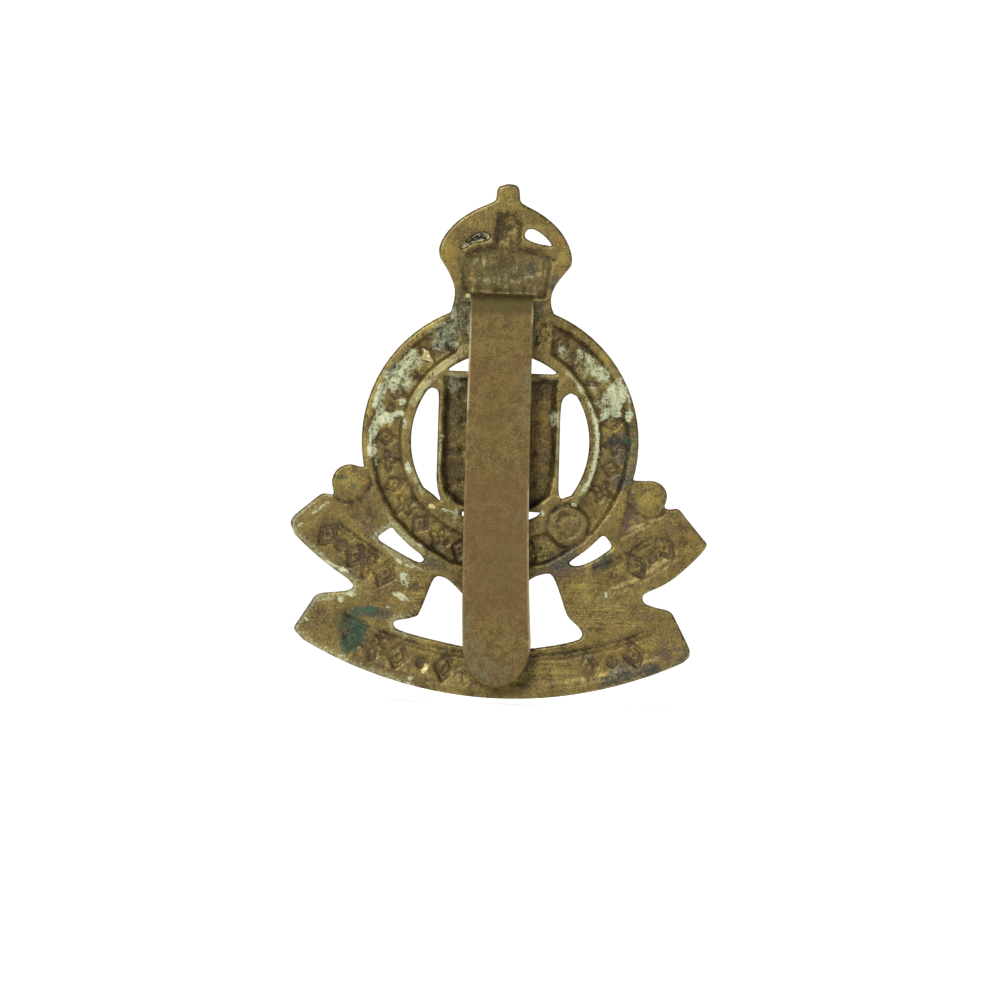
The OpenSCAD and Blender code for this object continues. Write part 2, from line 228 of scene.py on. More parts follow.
def local_mean(value: np.ndarray, x: np.ndarray, z: np.ndarray, reach: float,
               cell: float = 0.15) -> np.ndarray:
    """The mean of a value over the places near each place.

    Args:
        value: the value at each place.
        x, z: the places.
        reach: how far the mean reaches.
        cell: the size of the cells that the places are sorted into.

    Returns:
        The mean at each place.
    """
    i, j = ((x - x.min()) / cell).astype(int), ((z - z.min()) / cell).astype(int)
    total, count = np.zeros((2, i.max() + 1, j.max() + 1))
    np.add.at(total, (i, j), value)
    np.add.at(count, (i, j), 1.0)
    steps = np.arange(-3 * reach, 3 * reach + cell, cell)
    kernel = np.exp(-0.5 * (steps / reach) ** 2)
    for axis in (0, 1):
        total, count = (np.apply_along_axis(np.convolve, axis, grid, kernel, "same")
                        for grid in (total, count))
    return total[i, j] / np.maximum(count[i, j], 1e-9)


# --- meshes ---


@dataclass
class Sheet:
    """A flat region filled with a fine grid, with the outline that bounds it."""

    bm: bmesh.types.BMesh
    rim: KDTree

    def rim_distance(self, x: np.ndarray, z: np.ndarray) -> np.ndarray:
        """How far each place is from the region's outline."""
        return np.array([self.rim.find((px, 0.0, pz))[2] for px, pz in zip(x, z)])


def dense(starts: np.ndarray, ends: np.ndarray, pitch: float) -> KDTree:
    """A tree of places along some segments, no further apart than a pitch."""
    places = []
    for a, b in zip(starts, ends):
        count = max(1, math.ceil(float(np.hypot(*(b - a))) / pitch))
        places += [a + (b - a) * i / count for i in range(count)]
    tree = KDTree(len(places))
    for i, p in enumerate(places):
        tree.insert((p[0], 0.0, p[1]), i)
    tree.balance()
    return tree


def fill_outline(starts: np.ndarray, ends: np.ndarray, pitch: float) -> Sheet:
    """Fills the loops that the segments make with a grid whose border lies on them.

    Args:
        starts, ends: the two ends of each segment, in millimetres, in X and Z.
        pitch: the size of a grid cell.

    Returns:
        The filled region, flat at Y 0.
    """
    low, high = starts.min(0), starts.max(0)
    cells = np.ceil((high - low) / pitch).astype(int)
    half, middle = cells * pitch / 2, (low + high) / 2
    bm = bmesh.new()
    upright = Matrix.Translation((middle[0], 0, middle[1])) @ Matrix.Rotation(math.pi / 2, 4, "X")
    spread = Matrix.Diagonal((half[0], half[1], 1, 1))
    bmesh.ops.create_grid(bm, x_segments=int(cells[0]), y_segments=int(cells[1]), size=1.0,
                          matrix=upright @ spread)
    faces = bm.faces[:]
    middles = np.array([f.calc_center_median() for f in faces])
    kept = is_inside(middles[:, 0], middles[:, 2], starts, ends)
    bmesh.ops.delete(bm, geom=[f for f, keep in zip(faces, kept) if not keep], context="FACES")
    while True:
        pinched = {v.link_faces[0] for v in bm.verts if sum(e.is_boundary for e in v.link_edges) > 2}
        if not pinched:
            break
        bmesh.ops.delete(bm, geom=list(pinched), context="FACES")
    rim = dense(starts, ends, pitch / 4)
    border = [v for v in bm.verts if v.is_boundary]
    for v in border:
        v.co = rim.find(v.co)[0]
    near = {e.other_vert(v) for v in border for e in v.link_edges} - set(border)
    for _ in range(3):
        bmesh.ops.smooth_vert(bm, verts=list(near), factor=0.5, use_axis_x=True, use_axis_z=True)
    return Sheet(bm, rim)


def section(node: bpy.types.Object, y: float) -> tuple[np.ndarray, np.ndarray]:
    """Cuts a CAD node's mesh with a plane square to Y.

    Args:
        node: the CAD object, which is only copied.
        y: where the plane lies, in metres.

    Returns:
        The starts and the ends of the cut's segments, in millimetres, in X and Z.
    """
    bm = bmesh.new()
    bm.from_mesh(node.data)
    bmesh.ops.remove_doubles(bm, verts=bm.verts[:], dist=1e-7)
    bmesh.ops.bisect_plane(bm, geom=bm.verts[:] + bm.edges[:] + bm.faces[:], plane_co=(0, y, 0),
                           plane_no=(0, 1, 0), clear_inner=True, clear_outer=True)
    ends = np.array([[(v.co.x, v.co.z) for v in e.verts] for e in bm.edges]) / MM
    bm.free()
    return ends[:, 0], ends[:, 1]


def new_piece(name: str, bm: bmesh.types.BMesh) -> bpy.types.Object:
    """Makes a smooth-shaded object at the origin from a bmesh in metres."""
    mesh = bpy.data.meshes.new(name)
    bm.to_mesh(mesh)
    bm.free()
    mesh.shade_smooth()
    piece = bpy.data.objects.new(name, mesh)
    bpy.context.scene.collection.objects.link(piece)
    return piece


def thicken(sheet: Sheet, name: str, second_y: float) -> bpy.types.Object:
    """Makes a closed piece from a flat sheet, with a second face apart from the first.

    Args:
        sheet: the flat region, whose own face stays at Y 0.
        name: the piece's name.
        second_y: where the second face lies, until both are shaped.

    Returns:
        The piece, with its Y still plain.
    """
    grown = bmesh.ops.extrude_face_region(sheet.bm, geom=sheet.bm.faces[:], use_keep_orig=True)
    moved = [g for g in grown["geom"] if isinstance(g, bmesh.types.BMVert)]
    bmesh.ops.translate(sheet.bm, verts=moved, vec=(0, second_y, 0))
    bmesh.ops.recalc_face_normals(sheet.bm, faces=sheet.bm.faces[:])
    return new_piece(name, sheet.bm)


def coordinates(mesh: bpy.types.Mesh) -> np.ndarray:
    """The places of a mesh's points, one row each."""
    found = np.zeros(len(mesh.vertices) * 3, np.float32)
    mesh.vertices.foreach_get("co", found)
    return found.reshape(-1, 3).astype(float)


def move_to(mesh: bpy.types.Mesh, places: np.ndarray) -> None:
    """Moves a mesh's points to places in millimetres, one row each."""
    mesh.vertices.foreach_set("co", (places * MM).astype(np.float32).ravel())
    mesh.update()


def paint(mesh: bpy.types.Mesh, name: str, *masks: np.ndarray) -> None:
    """Writes up to three masks over a mesh's points as one colour attribute."""
    layer = mesh.color_attributes.new(name, "FLOAT_COLOR", "POINT")
    rows = np.zeros((len(mesh.vertices), 4), np.float32)
    rows[:, 3] = 1.0
    for column, mask in enumerate(masks):
        rows[:, column] = mask.clip(0, 1)
    layer.data.foreach_set("color", rows.ravel())


# --- the plan of the plate ---


class Ornament(Enum):
    """The small generic marks that fill the ring and the scrolls."""

    LOZENGE = "lozenge"
    QUATREFOIL = "quatrefoil"
    PELLET = "pellet"


@dataclass
class Mark:
    """One ornament: its kind, its middle, the way it faces, and its half height."""

    kind: Ornament
    x: float
    z: float
    turn: float
    half: float
    stroke: float

    def strength(self, x: np.ndarray, z: np.ndarray) -> np.ndarray:
        """Where the ornament's strokes lie, 0 to 1."""
        total = np.zeros(x.shape)
        near = np.hypot(x - self.x, z - self.z) < 1.5 * self.half
        c, s = math.cos(self.turn), math.sin(self.turn)
        dx, dz = x[near] - self.x, z[near] - self.z
        up, across = dx * c + dz * s, dz * c - dx * s
        if self.kind is Ornament.LOZENGE:
            slant = np.abs(up) + 1.3 * np.abs(across)
            found = np.maximum(groove((slant - 0.85 * self.half) * 0.62, self.stroke),
                               groove(slant * 0.62, 0.25))
        elif self.kind is Ornament.QUATREFOIL:
            petals = 0.62 + 0.3 * np.cos(4 * np.arctan2(across, up))
            away = np.hypot(up, across)
            found = np.maximum(groove(away - petals * self.half, self.stroke),
                               smooth(0.24 * self.half - away, 0.15))
        else:
            found = smooth(0.6 * self.half - np.hypot(up, across), 0.35)
        total[near] = found
        return total


def mark_on_arc(kind: Ornament, centre: tuple[float, float], r: float, degrees: float, half: float,
                stroke: float = 0.3) -> Mark:
    """An ornament on an arc, which faces away from the arc's centre."""
    turn = math.radians(degrees)
    return Mark(kind, centre[0] + r * math.cos(turn), centre[1] + r * math.sin(turn), turn, half, stroke)


@dataclass
class PlatePlan:
    """The pattern of the plate as heights in millimetres over X and Z, front and back."""

    sheet_t: float = 0.9
    ring_r: float = 12.9
    ring_bore_r: float = 8.3
    flange_w: float = 0.75
    rim_w: float = 0.45
    line_w: float = 0.35
    ring_rise: float = 0.55
    shield_rise: float = 0.9
    crown_rise: float = 0.7
    scroll_rise: float = 0.4
    curl_rise: float = 0.6
    line_rise: float = 0.3
    edge_round: float = 0.14
    ring_places: int = 30
    stud: tuple[float, float] = (-6.6, -7.6)
    stud_r: float = 1.75
    lower_centre: tuple[float, float] = (-0.85, 14.07)
    lower_r: tuple[float, float] = (33.3, 38.0)
    lower_half_turn: float = 26.2
    lower_turn: float = 271.2
    upper_centre: tuple[float, float] = (0.0, 9.68)
    upper_r: tuple[float, float] = (22.35, 26.85)
    upper_turn: tuple[float, float] = (21.5, 43.5)
    curls: tuple[tuple[float, float], ...] = ((-14.1, -4.65), (13.9, -4.25))
    curl_r: float = 1.6
    crown_x: float = 0.15
    circlet_z: float = 15.7
    ball_z: float = 23.05
    shield_middle: tuple[float, float] = (0.15, -0.2)
    bar_z: tuple[float, ...] = (1.8, -1.0, -3.8)
    bar_half: float = 3.6
    pellets: tuple[tuple[float, float], ...] = ((-3.25, 4.33), (0.15, 4.33), (3.55, 4.33))
    filed: tuple[tuple[float, float, float, float], ...] = ((-3.0, -21.5, 7.5, 4.0), (-9.0, -13.0, 4.5, 3.5))
    fold: tuple[tuple[float, float], ...] = (
        (12.4, -4.6), (12.0, -5.8), (11.5, -8.5), (14.2, -7.1), (13.1, -6.2))
    lower_step: float = 3.6
    upper_first: float = 24.6
    upper_step: float = 3.75
    mark_half: float = 1.25
    ring_mark_half: float = 0.95
    ring_stroke: float = 0.22
    marks: list[Mark] = field(default_factory=list)

    def __post_init__(self) -> None:
        """Works out the outlines and the rows of ornaments."""
        self.shield: Points = [
            (-5.55, 6.48), (-2.8, 6.18), (0.15, 6.33), (3.1, 6.18), (5.9, 6.48), (5.7, 5.18), (5.8, 2.58),
            (5.82, -3.02), (5.3, -5.32), (3.8, -6.52), (0.15, -7.02), (-3.6, -6.52), (-5.1, -5.32),
            (-5.55, -3.02), (-5.5, 2.58), (-5.4, 5.18)]
        self.circlet = curve([(-3.7, 14.03), (-1.8, 13.78), (0.15, 13.7), (2.1, 13.78), (4, 14.03)]) + curve(
            [(4.55, 16.48), (3.2, 17.13), (1.8, 17.48), (0.15, 17.63), (-1.5, 17.48), (-2.9, 17.13),
             (-4.25, 16.48)])
        self.side_arch = curve([(-4.75, 16.68), (-5.15, 17.48), (-4.9, 18.48), (-4.2, 19.48), (-3.2, 20.33),
                                (-2, 21.03), (-1, 21.48)])
        self.crown_body: Points = [
            (-3.9, 13.9), (-4.6, 16.6), (-5.1, 17.5), (-4.8, 18.7), (-3.6, 20.2), (-1.6, 21.5), (0.15, 22.0),
            (2.0, 21.5), (3.7, 20.3), (5.0, 18.9), (5.5, 17.6), (4.9, 16.5), (4.2, 13.9)]
        kinds = (Ornament.LOZENGE, Ornament.QUATREFOIL, Ornament.LOZENGE, Ornament.PELLET)
        for i in range(self.ring_places):
            mark = mark_on_arc(kinds[i % 2], (0.0, 0.0), (self.ring_r + self.ring_bore_r) / 2,
                               90 + 360 * (i + 0.5) / self.ring_places, self.ring_mark_half, self.ring_stroke)
            if math.hypot(mark.x - self.stud[0], mark.z - self.stud[1]) > self.stud_r + 0.9:
                self.marks.append(mark)
        for i in range(-6, 7):
            self.marks.append(mark_on_arc(kinds[i % 4], self.lower_centre, sum(self.lower_r) / 2,
                                          self.lower_turn + self.lower_step * i, self.mark_half))
        for side in (-1, 1):
            for i in range(5):
                turn = 270 + side * (self.upper_first + i * self.upper_step)
                self.marks.append(mark_on_arc(kinds[i % 4], self.upper_centre, sum(self.upper_r) / 2,
                                              turn, self.mark_half))

    def bands(self, x: np.ndarray, z: np.ndarray) -> list[tuple[np.ndarray, np.ndarray, np.ndarray]]:
        """The scrolls as bands.

        Returns:
            For each scroll, how far each place is inside its inner edge, its outer edge and its ends.
        """
        found = []
        spans = [(self.lower_centre, self.lower_r, self.lower_turn, self.lower_half_turn)]
        low, high = self.upper_turn
        for side in (-1, 1):
            spans.append((self.upper_centre, self.upper_r, 270 + side * (low + high) / 2, (high - low) / 2))
        for centre, radii, turn, half in spans:
            r = np.hypot(x - centre[0], z - centre[1])
            a = np.degrees(np.arctan2(z - centre[1], x - centre[0])) % 360
            end = (half - np.abs(a - turn)) * math.radians(1) * radii[0]
            found.append((r - radii[0], radii[1] - r, end))
        return found

    def front(self, x: np.ndarray, z: np.ndarray) -> np.ndarray:
        """How far the struck face stands in front of the back plane."""
        r = np.hypot(x, z)
        soft = 0.34
        height = np.full(x.shape, self.sheet_t)
        outer = self.ring_r - self.flange_w
        height += self.ring_rise * between(r, self.ring_bore_r - 0.4, outer, soft)
        rims = groove(r - self.ring_bore_r - 0.5, self.rim_w) + groove(r - outer + 0.3, self.rim_w)
        height += self.line_rise * np.clip(rims, 0, 1)
        for inner, outer_edge, end in self.bands(x, z):
            whole = smooth(end + 0.2, 0.4)
            height += self.scroll_rise * smooth(inner - 0.2, 0.4) * smooth(outer_edge - 0.4, 0.4) * whole
            lines = groove(inner - 0.45, self.line_w) + groove(outer_edge - 0.7, self.line_w)
            height += self.line_rise * np.clip(lines, 0, 1) * whole
        for cx, cz in self.curls:
            rc = np.hypot(x - cx, z - cz)
            turn = np.arctan2(z - cz, x - cx)
            coil = np.cos(turn * np.sign(cx) - rc * 5.0)
            height += self.curl_rise * smooth(self.curl_r - 0.1 - rc, 0.5) * (0.75 + 0.25 * coil)
        shield = depth_in(x, z, self.shield)
        on_shield = smooth(shield, 0.25)
        height = height * (1 - on_shield) + (self.sheet_t + self.shield_rise) * on_shield
        charges = self.charges(x, z, (0.75, 0.35), (self.bar_half, 0.2), (0.5, 0.2))
        height += self.line_rise * np.maximum(groove(shield - 0.4, 0.4), charges)
        height += self.crown_front(x, z)
        for mark in self.marks:
            height += self.line_rise * mark.strength(x, z)
        rs = np.hypot(x - self.stud[0], z - self.stud[1])
        height += self.line_rise * (smooth(self.stud_r - rs, 0.3) + smooth(self.stud_r / 2 - rs, 0.4))
        return height

    def charges(self, x: np.ndarray, z: np.ndarray, pellet: tuple[float, float],
                bar_end: tuple[float, float], bar_side: tuple[float, float]) -> np.ndarray:
        """Where the shield's pellets and bars lie.

        Args:
            x, z: the places.
            pellet, bar_end, bar_side: how far out each border lies, and over how far it fades.

        Returns:
            0 to 1 at each place.
        """
        found = np.zeros(x.shape)
        for px, pz in self.pellets:
            found = np.maximum(found, smooth(pellet[0] - np.hypot(x - px, z - pz), pellet[1]))
        length = smooth(bar_end[0] - np.abs(x - self.shield_middle[0]), bar_end[1])
        for bz in self.bar_z:
            found = np.maximum(found, length * smooth(bar_side[0] - np.abs(z - bz), bar_side[1]))
        return found

    def crown_front(self, x: np.ndarray, z: np.ndarray) -> np.ndarray:
        """The crown's own height above the sheet, at its front."""
        height = self.crown_rise * smooth(depth_in(x, z, self.crown_body) + 0.15, 0.35)
        details = smooth(depth_in(x, z, self.circlet), 0.25)
        height += self.line_rise * details
        middle = self.crown_x
        for i in range(6):
            sx, sz = middle + 1.2 * (i - 2.5), self.circlet_z - 0.35
            slant = np.abs(x - sx) + np.abs(z - sz)
            height += 0.9 * self.line_rise * smooth(0.5 - slant, 0.3)
        for flip in (1, -1):
            arch = [(middle + flip * (px - middle), pz) for px, pz in self.side_arch]
            height += self.line_rise * smooth(0.5 - line_distance(x, z, arch), 0.2)
            for px, pz in arch[2:-1:3]:
                height += 0.9 * self.line_rise * smooth(0.4 - np.hypot(x - px, z - pz), 0.35)
        post = smooth(0.85 - np.abs(x - middle), 0.25) * between(z, 17.4, 21.9, 0.3)
        height += 1.3 * self.line_rise * post * (1 - details)
        ball = np.hypot(x - middle, z - self.ball_z)
        height += 2 * self.line_rise * smooth(0.85 - ball, 0.7)
        return height

    def back(self, x: np.ndarray, z: np.ndarray) -> tuple[np.ndarray, np.ndarray, np.ndarray]:
        """The hollows of the back.

        Returns:
            How deep the back is sunk at each place, how strongly a line is cut there, 0 to 1, and how
            strongly an ornament is struck there, 0 to 1.
        """
        r = np.hypot(x, z)
        rs = np.hypot(x - self.stud[0], z - self.stud[1])
        seat = smooth(4.7 - np.abs(x), 0.4) * smooth(z - 7.8, 0.3)
        wander = 0.12 * cloud(x, z, 3.0, 2, 3.0)
        field_edge = between(r + wander, self.ring_bore_r + 0.85, self.ring_r - 0.85, 0.4)
        sunk = 0.42 * field_edge * (1 - 0.85 * seat) * smooth(rs - self.stud_r - 0.1, 0.35)
        # The cut lines are darkened in the finish: painted shade in the grooves, partly dirt.
        cut = groove(r - self.ring_r + 0.95 + wander, 0.2) * (1 - seat) * 0.8
        cut = np.maximum(cut, 0.9 * groove(rs - self.stud_r - 0.18, 0.26))
        cut = np.maximum(cut, 0.55 * groove(rs - 1.0 + wander, 0.3))
        shield = depth_in(x, z, shrunk(self.shield, self.shield_middle, 0.925)) + 0.7 * wander
        well = smooth(shield, 0.45)
        sunk = np.maximum(sunk, 0.7 * well)
        cut = np.maximum(cut, groove(shield - 0.1, 0.24))
        sunk += 0.1 * self.charges(x, z, (0.8, 0.4), (self.bar_half + 0.1, 0.3), (0.45, 0.35))
        crown_sunk, crown_cut = self.crown_back(x, z, wander)
        sunk, cut = sunk + crown_sunk, np.maximum(cut, crown_cut)
        for inner, outer, end in self.bands(x, z):
            fade = smooth(end - 0.2 + 3 * wander, 1.2)
            sunk += 0.14 * smooth(inner - 0.7 + wander, 0.7) * smooth(outer - 0.9 + wander, 0.7) * fade
            upper = groove(inner - 0.75 + wander, 0.2) + 0.6 * groove(inner - 1.2 + wander, 0.12)
            cut = np.maximum(cut, 0.95 * np.clip(upper, 0, 1) * fade)
            cut = np.maximum(cut, 0.3 * groove(outer - 0.9 + 2 * wander, 0.2) * fade)
        left = np.ones(x.shape)
        for fx, fz, half_x, half_z in self.filed:
            left *= 1.0 - smooth(1.0 - np.hypot((x - fx) / half_x, (z - fz) / half_z), 0.3)
        inked = np.zeros(x.shape)
        for mark in self.marks:
            inked = np.maximum(inked, left * mark.strength(x + wander, z - wander))
        for cx, cz in self.curls:
            rc = np.hypot(x - cx, z - cz)
            # Painted shadow: a dark line on the lower side of each curl only.
            low_side = smooth((cz - z) + 0.6 * (abs(cx) - np.abs(x)) + 0.4, 1.2)
            cut = np.maximum(cut, 0.8 * low_side * groove(rc - self.curl_r - 0.35, 0.2))
            fold = depth_in(np.abs(x), z, list(self.fold))
            sunk += 0.07 * smooth(fold, 0.4)
            cut = np.maximum(cut, 0.45 * groove(fold, 0.16))
        cut = cut * np.clip(0.8 + 0.7 * cloud(x, z, 1.3, 3, 15.0), 0.25, 1.0)
        return sunk + 0.16 * cut + 0.2 * inked, np.maximum(cut, 0.36 * inked), inked

    def crown_back(self, x: np.ndarray, z: np.ndarray, wander: np.ndarray) -> tuple[np.ndarray, np.ndarray]:
        """The crown's hollows and the line along their upper edge, at the back; the line is darkened in the
        finish as painted shadow under that edge.
        """
        hollow: Points = [(-3.9, 13.2), (4.2, 13.2), (4.7, 16.7), (3.2, 17.9), (1.2, 18.2), (1.0, 21.3),
                          (-0.9, 21.2), (-1.1, 18.2), (-3.0, 17.9), (-4.5, 17.1)]
        depth = depth_in(x, z, hollow) + 2.4 * wander
        lumps = cloud(0.6 * z, x, 0.9, 4, 9.0)
        drop = smooth(0.75 - np.hypot(x - 0.1, 0.8 * (z - 18.1)), 0.5)
        low = smooth(z - 13.0, 0.9)
        sunk = low * (0.32 * smooth(depth, 0.7) + smooth(depth, 0.8) * (0.13 * lumps - 0.18 * drop))
        return sunk, 0.75 * groove(depth - 0.15, 0.3, 0.25) * smooth(z - 16.4, 0.8) * (1 - drop)


# --- finishes ---


class Graph:
    """Places and joins the nodes of one tree."""

    def __init__(self, tree: bpy.types.NodeTree) -> None:
        """Starts on an emptied tree."""
        self.tree = tree
        tree.nodes.clear()

    def add(self, kind: str, inputs: dict | None = None, **settings) -> bpy.types.Node:
        """Adds a node.

        Args:
            kind: the node's type.
            inputs: a value or an output socket for each named or numbered input.
            settings: the node's own properties.

        Returns:
            The node.
        """
        node = self.tree.nodes.new(kind)
        for name, value in settings.items():
            setattr(node, name, value)
        for name, value in (inputs or {}).items():
            if isinstance(value, bpy.types.NodeSocket):
                self.tree.links.new(value, node.inputs[name])
            else:
                node.inputs[name].default_value = value
        return node

    def math(self, operation: str, a, b=0.0, clamp: bool = False) -> bpy.types.NodeSocket:
        """One arithmetic operation on two values or sockets."""
        return self.add("ShaderNodeMath", {0: a, 1: b}, operation=operation, use_clamp=clamp).outputs[0]

    def mix(self, share, a, b) -> bpy.types.NodeSocket:
        """A colour between two others."""
        node = self.add("ShaderNodeMix", data_type="RGBA")
        for index, value in ((0, share), (6, a), (7, b)):
            if isinstance(value, bpy.types.NodeSocket):
                self.tree.links.new(value, node.inputs[index])
            else:
                node.inputs[index].default_value = value if index == 0 else (*value, 1.0)
        return node.outputs[2]

    def lay(self, colour: bpy.types.NodeSocket, mask, share, stain) -> bpy.types.NodeSocket:
        """A colour with a stain laid over it, as strong as a mask times a share."""
        return self.mix(self.math("MULTIPLY", mask, share), colour, stain)

    def ramp(self, value, low: float, high: float) -> bpy.types.NodeSocket:
        """A value stretched so that low becomes 0 and high becomes 1."""
        node = self.add("ShaderNodeMapRange", {0: value, 1: low, 2: high}, interpolation_type="SMOOTHSTEP")
        return node.outputs[0]

    def noise(self, place, size_mm: float, detail: float,
              stretch: Place = (1, 1, 1)) -> bpy.types.NodeSocket:
        """Noise of about a size, optionally drawn out along an axis."""
        scale = 1.0 / (size_mm * MM)
        moved = self.add("ShaderNodeMapping", {"Vector": place, "Scale": tuple(scale / s for s in stretch)})
        return self.add("ShaderNodeTexNoise", {"Vector": moved.outputs[0], "Scale": 1.0, "Detail": detail,
                                               "Roughness": 0.6}).outputs["Fac"]

    def surface(self, inputs: dict) -> None:
        """Ends a material with one Principled surface."""
        shader = self.add("ShaderNodeBsdfPrincipled", inputs)
        self.add("ShaderNodeOutputMaterial", {"Surface": shader.outputs["BSDF"]})

    def masks(self, name: str) -> list[bpy.types.NodeSocket]:
        """The three masks of a colour attribute."""
        layer = self.add("ShaderNodeAttribute", attribute_name=name)
        return list(self.add("ShaderNodeSeparateColor", {0: layer.outputs["Color"]}).outputs)


def linear(red: int, green: int, blue: int) -> Colour:
    """A colour given in 0 to 255 as a screen shows it, made linear."""
    return tuple((c / 255 / 12.92) if c <= 10 else ((c / 255 + 0.055) / 1.055) ** 2.4
                 for c in (red, green, blue))


def new_material(name: str) -> tuple[bpy.types.Material, Graph]:
    """Starts a material, and gives the graph of its nodes."""
    material = bpy.data.materials.new(name)
    material.use_nodes = True
    return material, Graph(material.node_tree)


def new_group(name: str, inputs: dict[str, float], outputs: tuple[str, ...]) -> tuple[Graph, dict]:
    """Starts a shader node group whose sockets are all plain values.

    Args:
        name: the group's name.
        inputs: each input's name and its first value.
        outputs: each output's name.

    Returns:
        The graph of its tree, and its input sockets by name.
    """
    tree = bpy.data.node_groups.new(name, "ShaderNodeTree")
    graph = Graph(tree)
    for label, first in inputs.items():
        socket = tree.interface.new_socket(label, in_out="INPUT", socket_type="NodeSocketFloat")
        socket.default_value = first
    for label in outputs:
        tree.interface.new_socket(label, in_out="OUTPUT", socket_type="NodeSocketFloat")
    start = tree.nodes.new("NodeGroupInput")
    return graph, {label: start.outputs[label] for label in inputs}


def metal_grain_group() -> bpy.types.NodeTree:
    """The grain of old brass: a mottle of three sizes, its height, and its bright flecks and dark pits."""
    graph, given = new_group("metal_grain", {"Coarse": 1.0, "Fine": 1.0},
                             ("Mottle", "Height", "Fleck", "Pit"))
    place = graph.add("ShaderNodeTexCoord").outputs["Object"]
    broad = graph.noise(place, 2.6, 3.0)
    middle = graph.noise(place, 0.7, 3.0)
    fine = graph.noise(place, 0.2, 2.0)
    rough = graph.math("MULTIPLY", graph.math("SUBTRACT", broad, 0.5), given["Coarse"])
    small = graph.math("ADD", graph.math("MULTIPLY", graph.math("SUBTRACT", middle, 0.5), 0.8),
                       graph.math("SUBTRACT", fine, 0.5))
    total = graph.math("ADD", rough, graph.math("MULTIPLY", small, given["Fine"]))
    mottle = graph.math("ADD", total, 0.5, clamp=True)
    height = graph.math("ADD", graph.math("MULTIPLY", middle, 0.6), fine)
    flecks = graph.noise(place, 0.13, 1.0)
    graph.add("NodeGroupOutput", {"Mottle": mottle, "Height": height, "Fleck": graph.ramp(flecks, 0.62, 0.72),
                                  "Pit": graph.ramp(flecks, 0.37, 0.27)})
    return graph.tree


def brushed_lines_group() -> bpy.types.NodeTree:
    """Fine lines left by a file, along X."""
    graph, _ = new_group("brushed_lines", {}, ("Lines",))
    place = graph.add("ShaderNodeTexCoord").outputs["Object"]
    lines = graph.noise(place, 0.16, 2.0, (26, 1, 1))
    wide = graph.noise(place, 0.4, 2.0, (18, 1, 1))
    total = graph.math("ADD", graph.math("MULTIPLY", lines, 0.6), graph.math("MULTIPLY", wide, 0.4))
    graph.add("NodeGroupOutput", {"Lines": graph.ramp(total, 0.32, 0.68)})
    return graph.tree


def crust_group() -> bpy.types.NodeTree:
    """Breaks a mask up into the crumbs of a crust, and gives a net of thin veins."""
    graph, given = new_group("crust", {"Mask": 0.0, "Crumb": 0.5}, ("Cover", "Veins"))
    place = graph.add("ShaderNodeTexCoord").outputs["Object"]
    crumbs = graph.noise(place, 0.34, 4.0)
    tiny = graph.noise(place, 0.12, 2.0)
    broken = graph.math("ADD", graph.math("MULTIPLY", crumbs, 0.75), graph.math("MULTIPLY", tiny, 0.25))
    over = graph.math("ADD", graph.math("SUBTRACT", given["Mask"], 0.5),
                      graph.math("MULTIPLY", graph.math("SUBTRACT", broken, 0.5), given["Crumb"]))
    cover = graph.ramp(over, -0.25, 0.3)
    nets = [graph.ramp(graph.math("ABSOLUTE", graph.math("SUBTRACT", graph.noise(place, size, 2.0), 0.5)),
                       0.075, 0.015) for size in (1.1, 0.6)]
    veins = graph.math("MULTIPLY", graph.math("MAXIMUM", *nets), graph.ramp(given["Mask"], 0.25, 0.6))
    graph.add("NodeGroupOutput", {"Cover": cover, "Veins": veins})
    return graph.tree


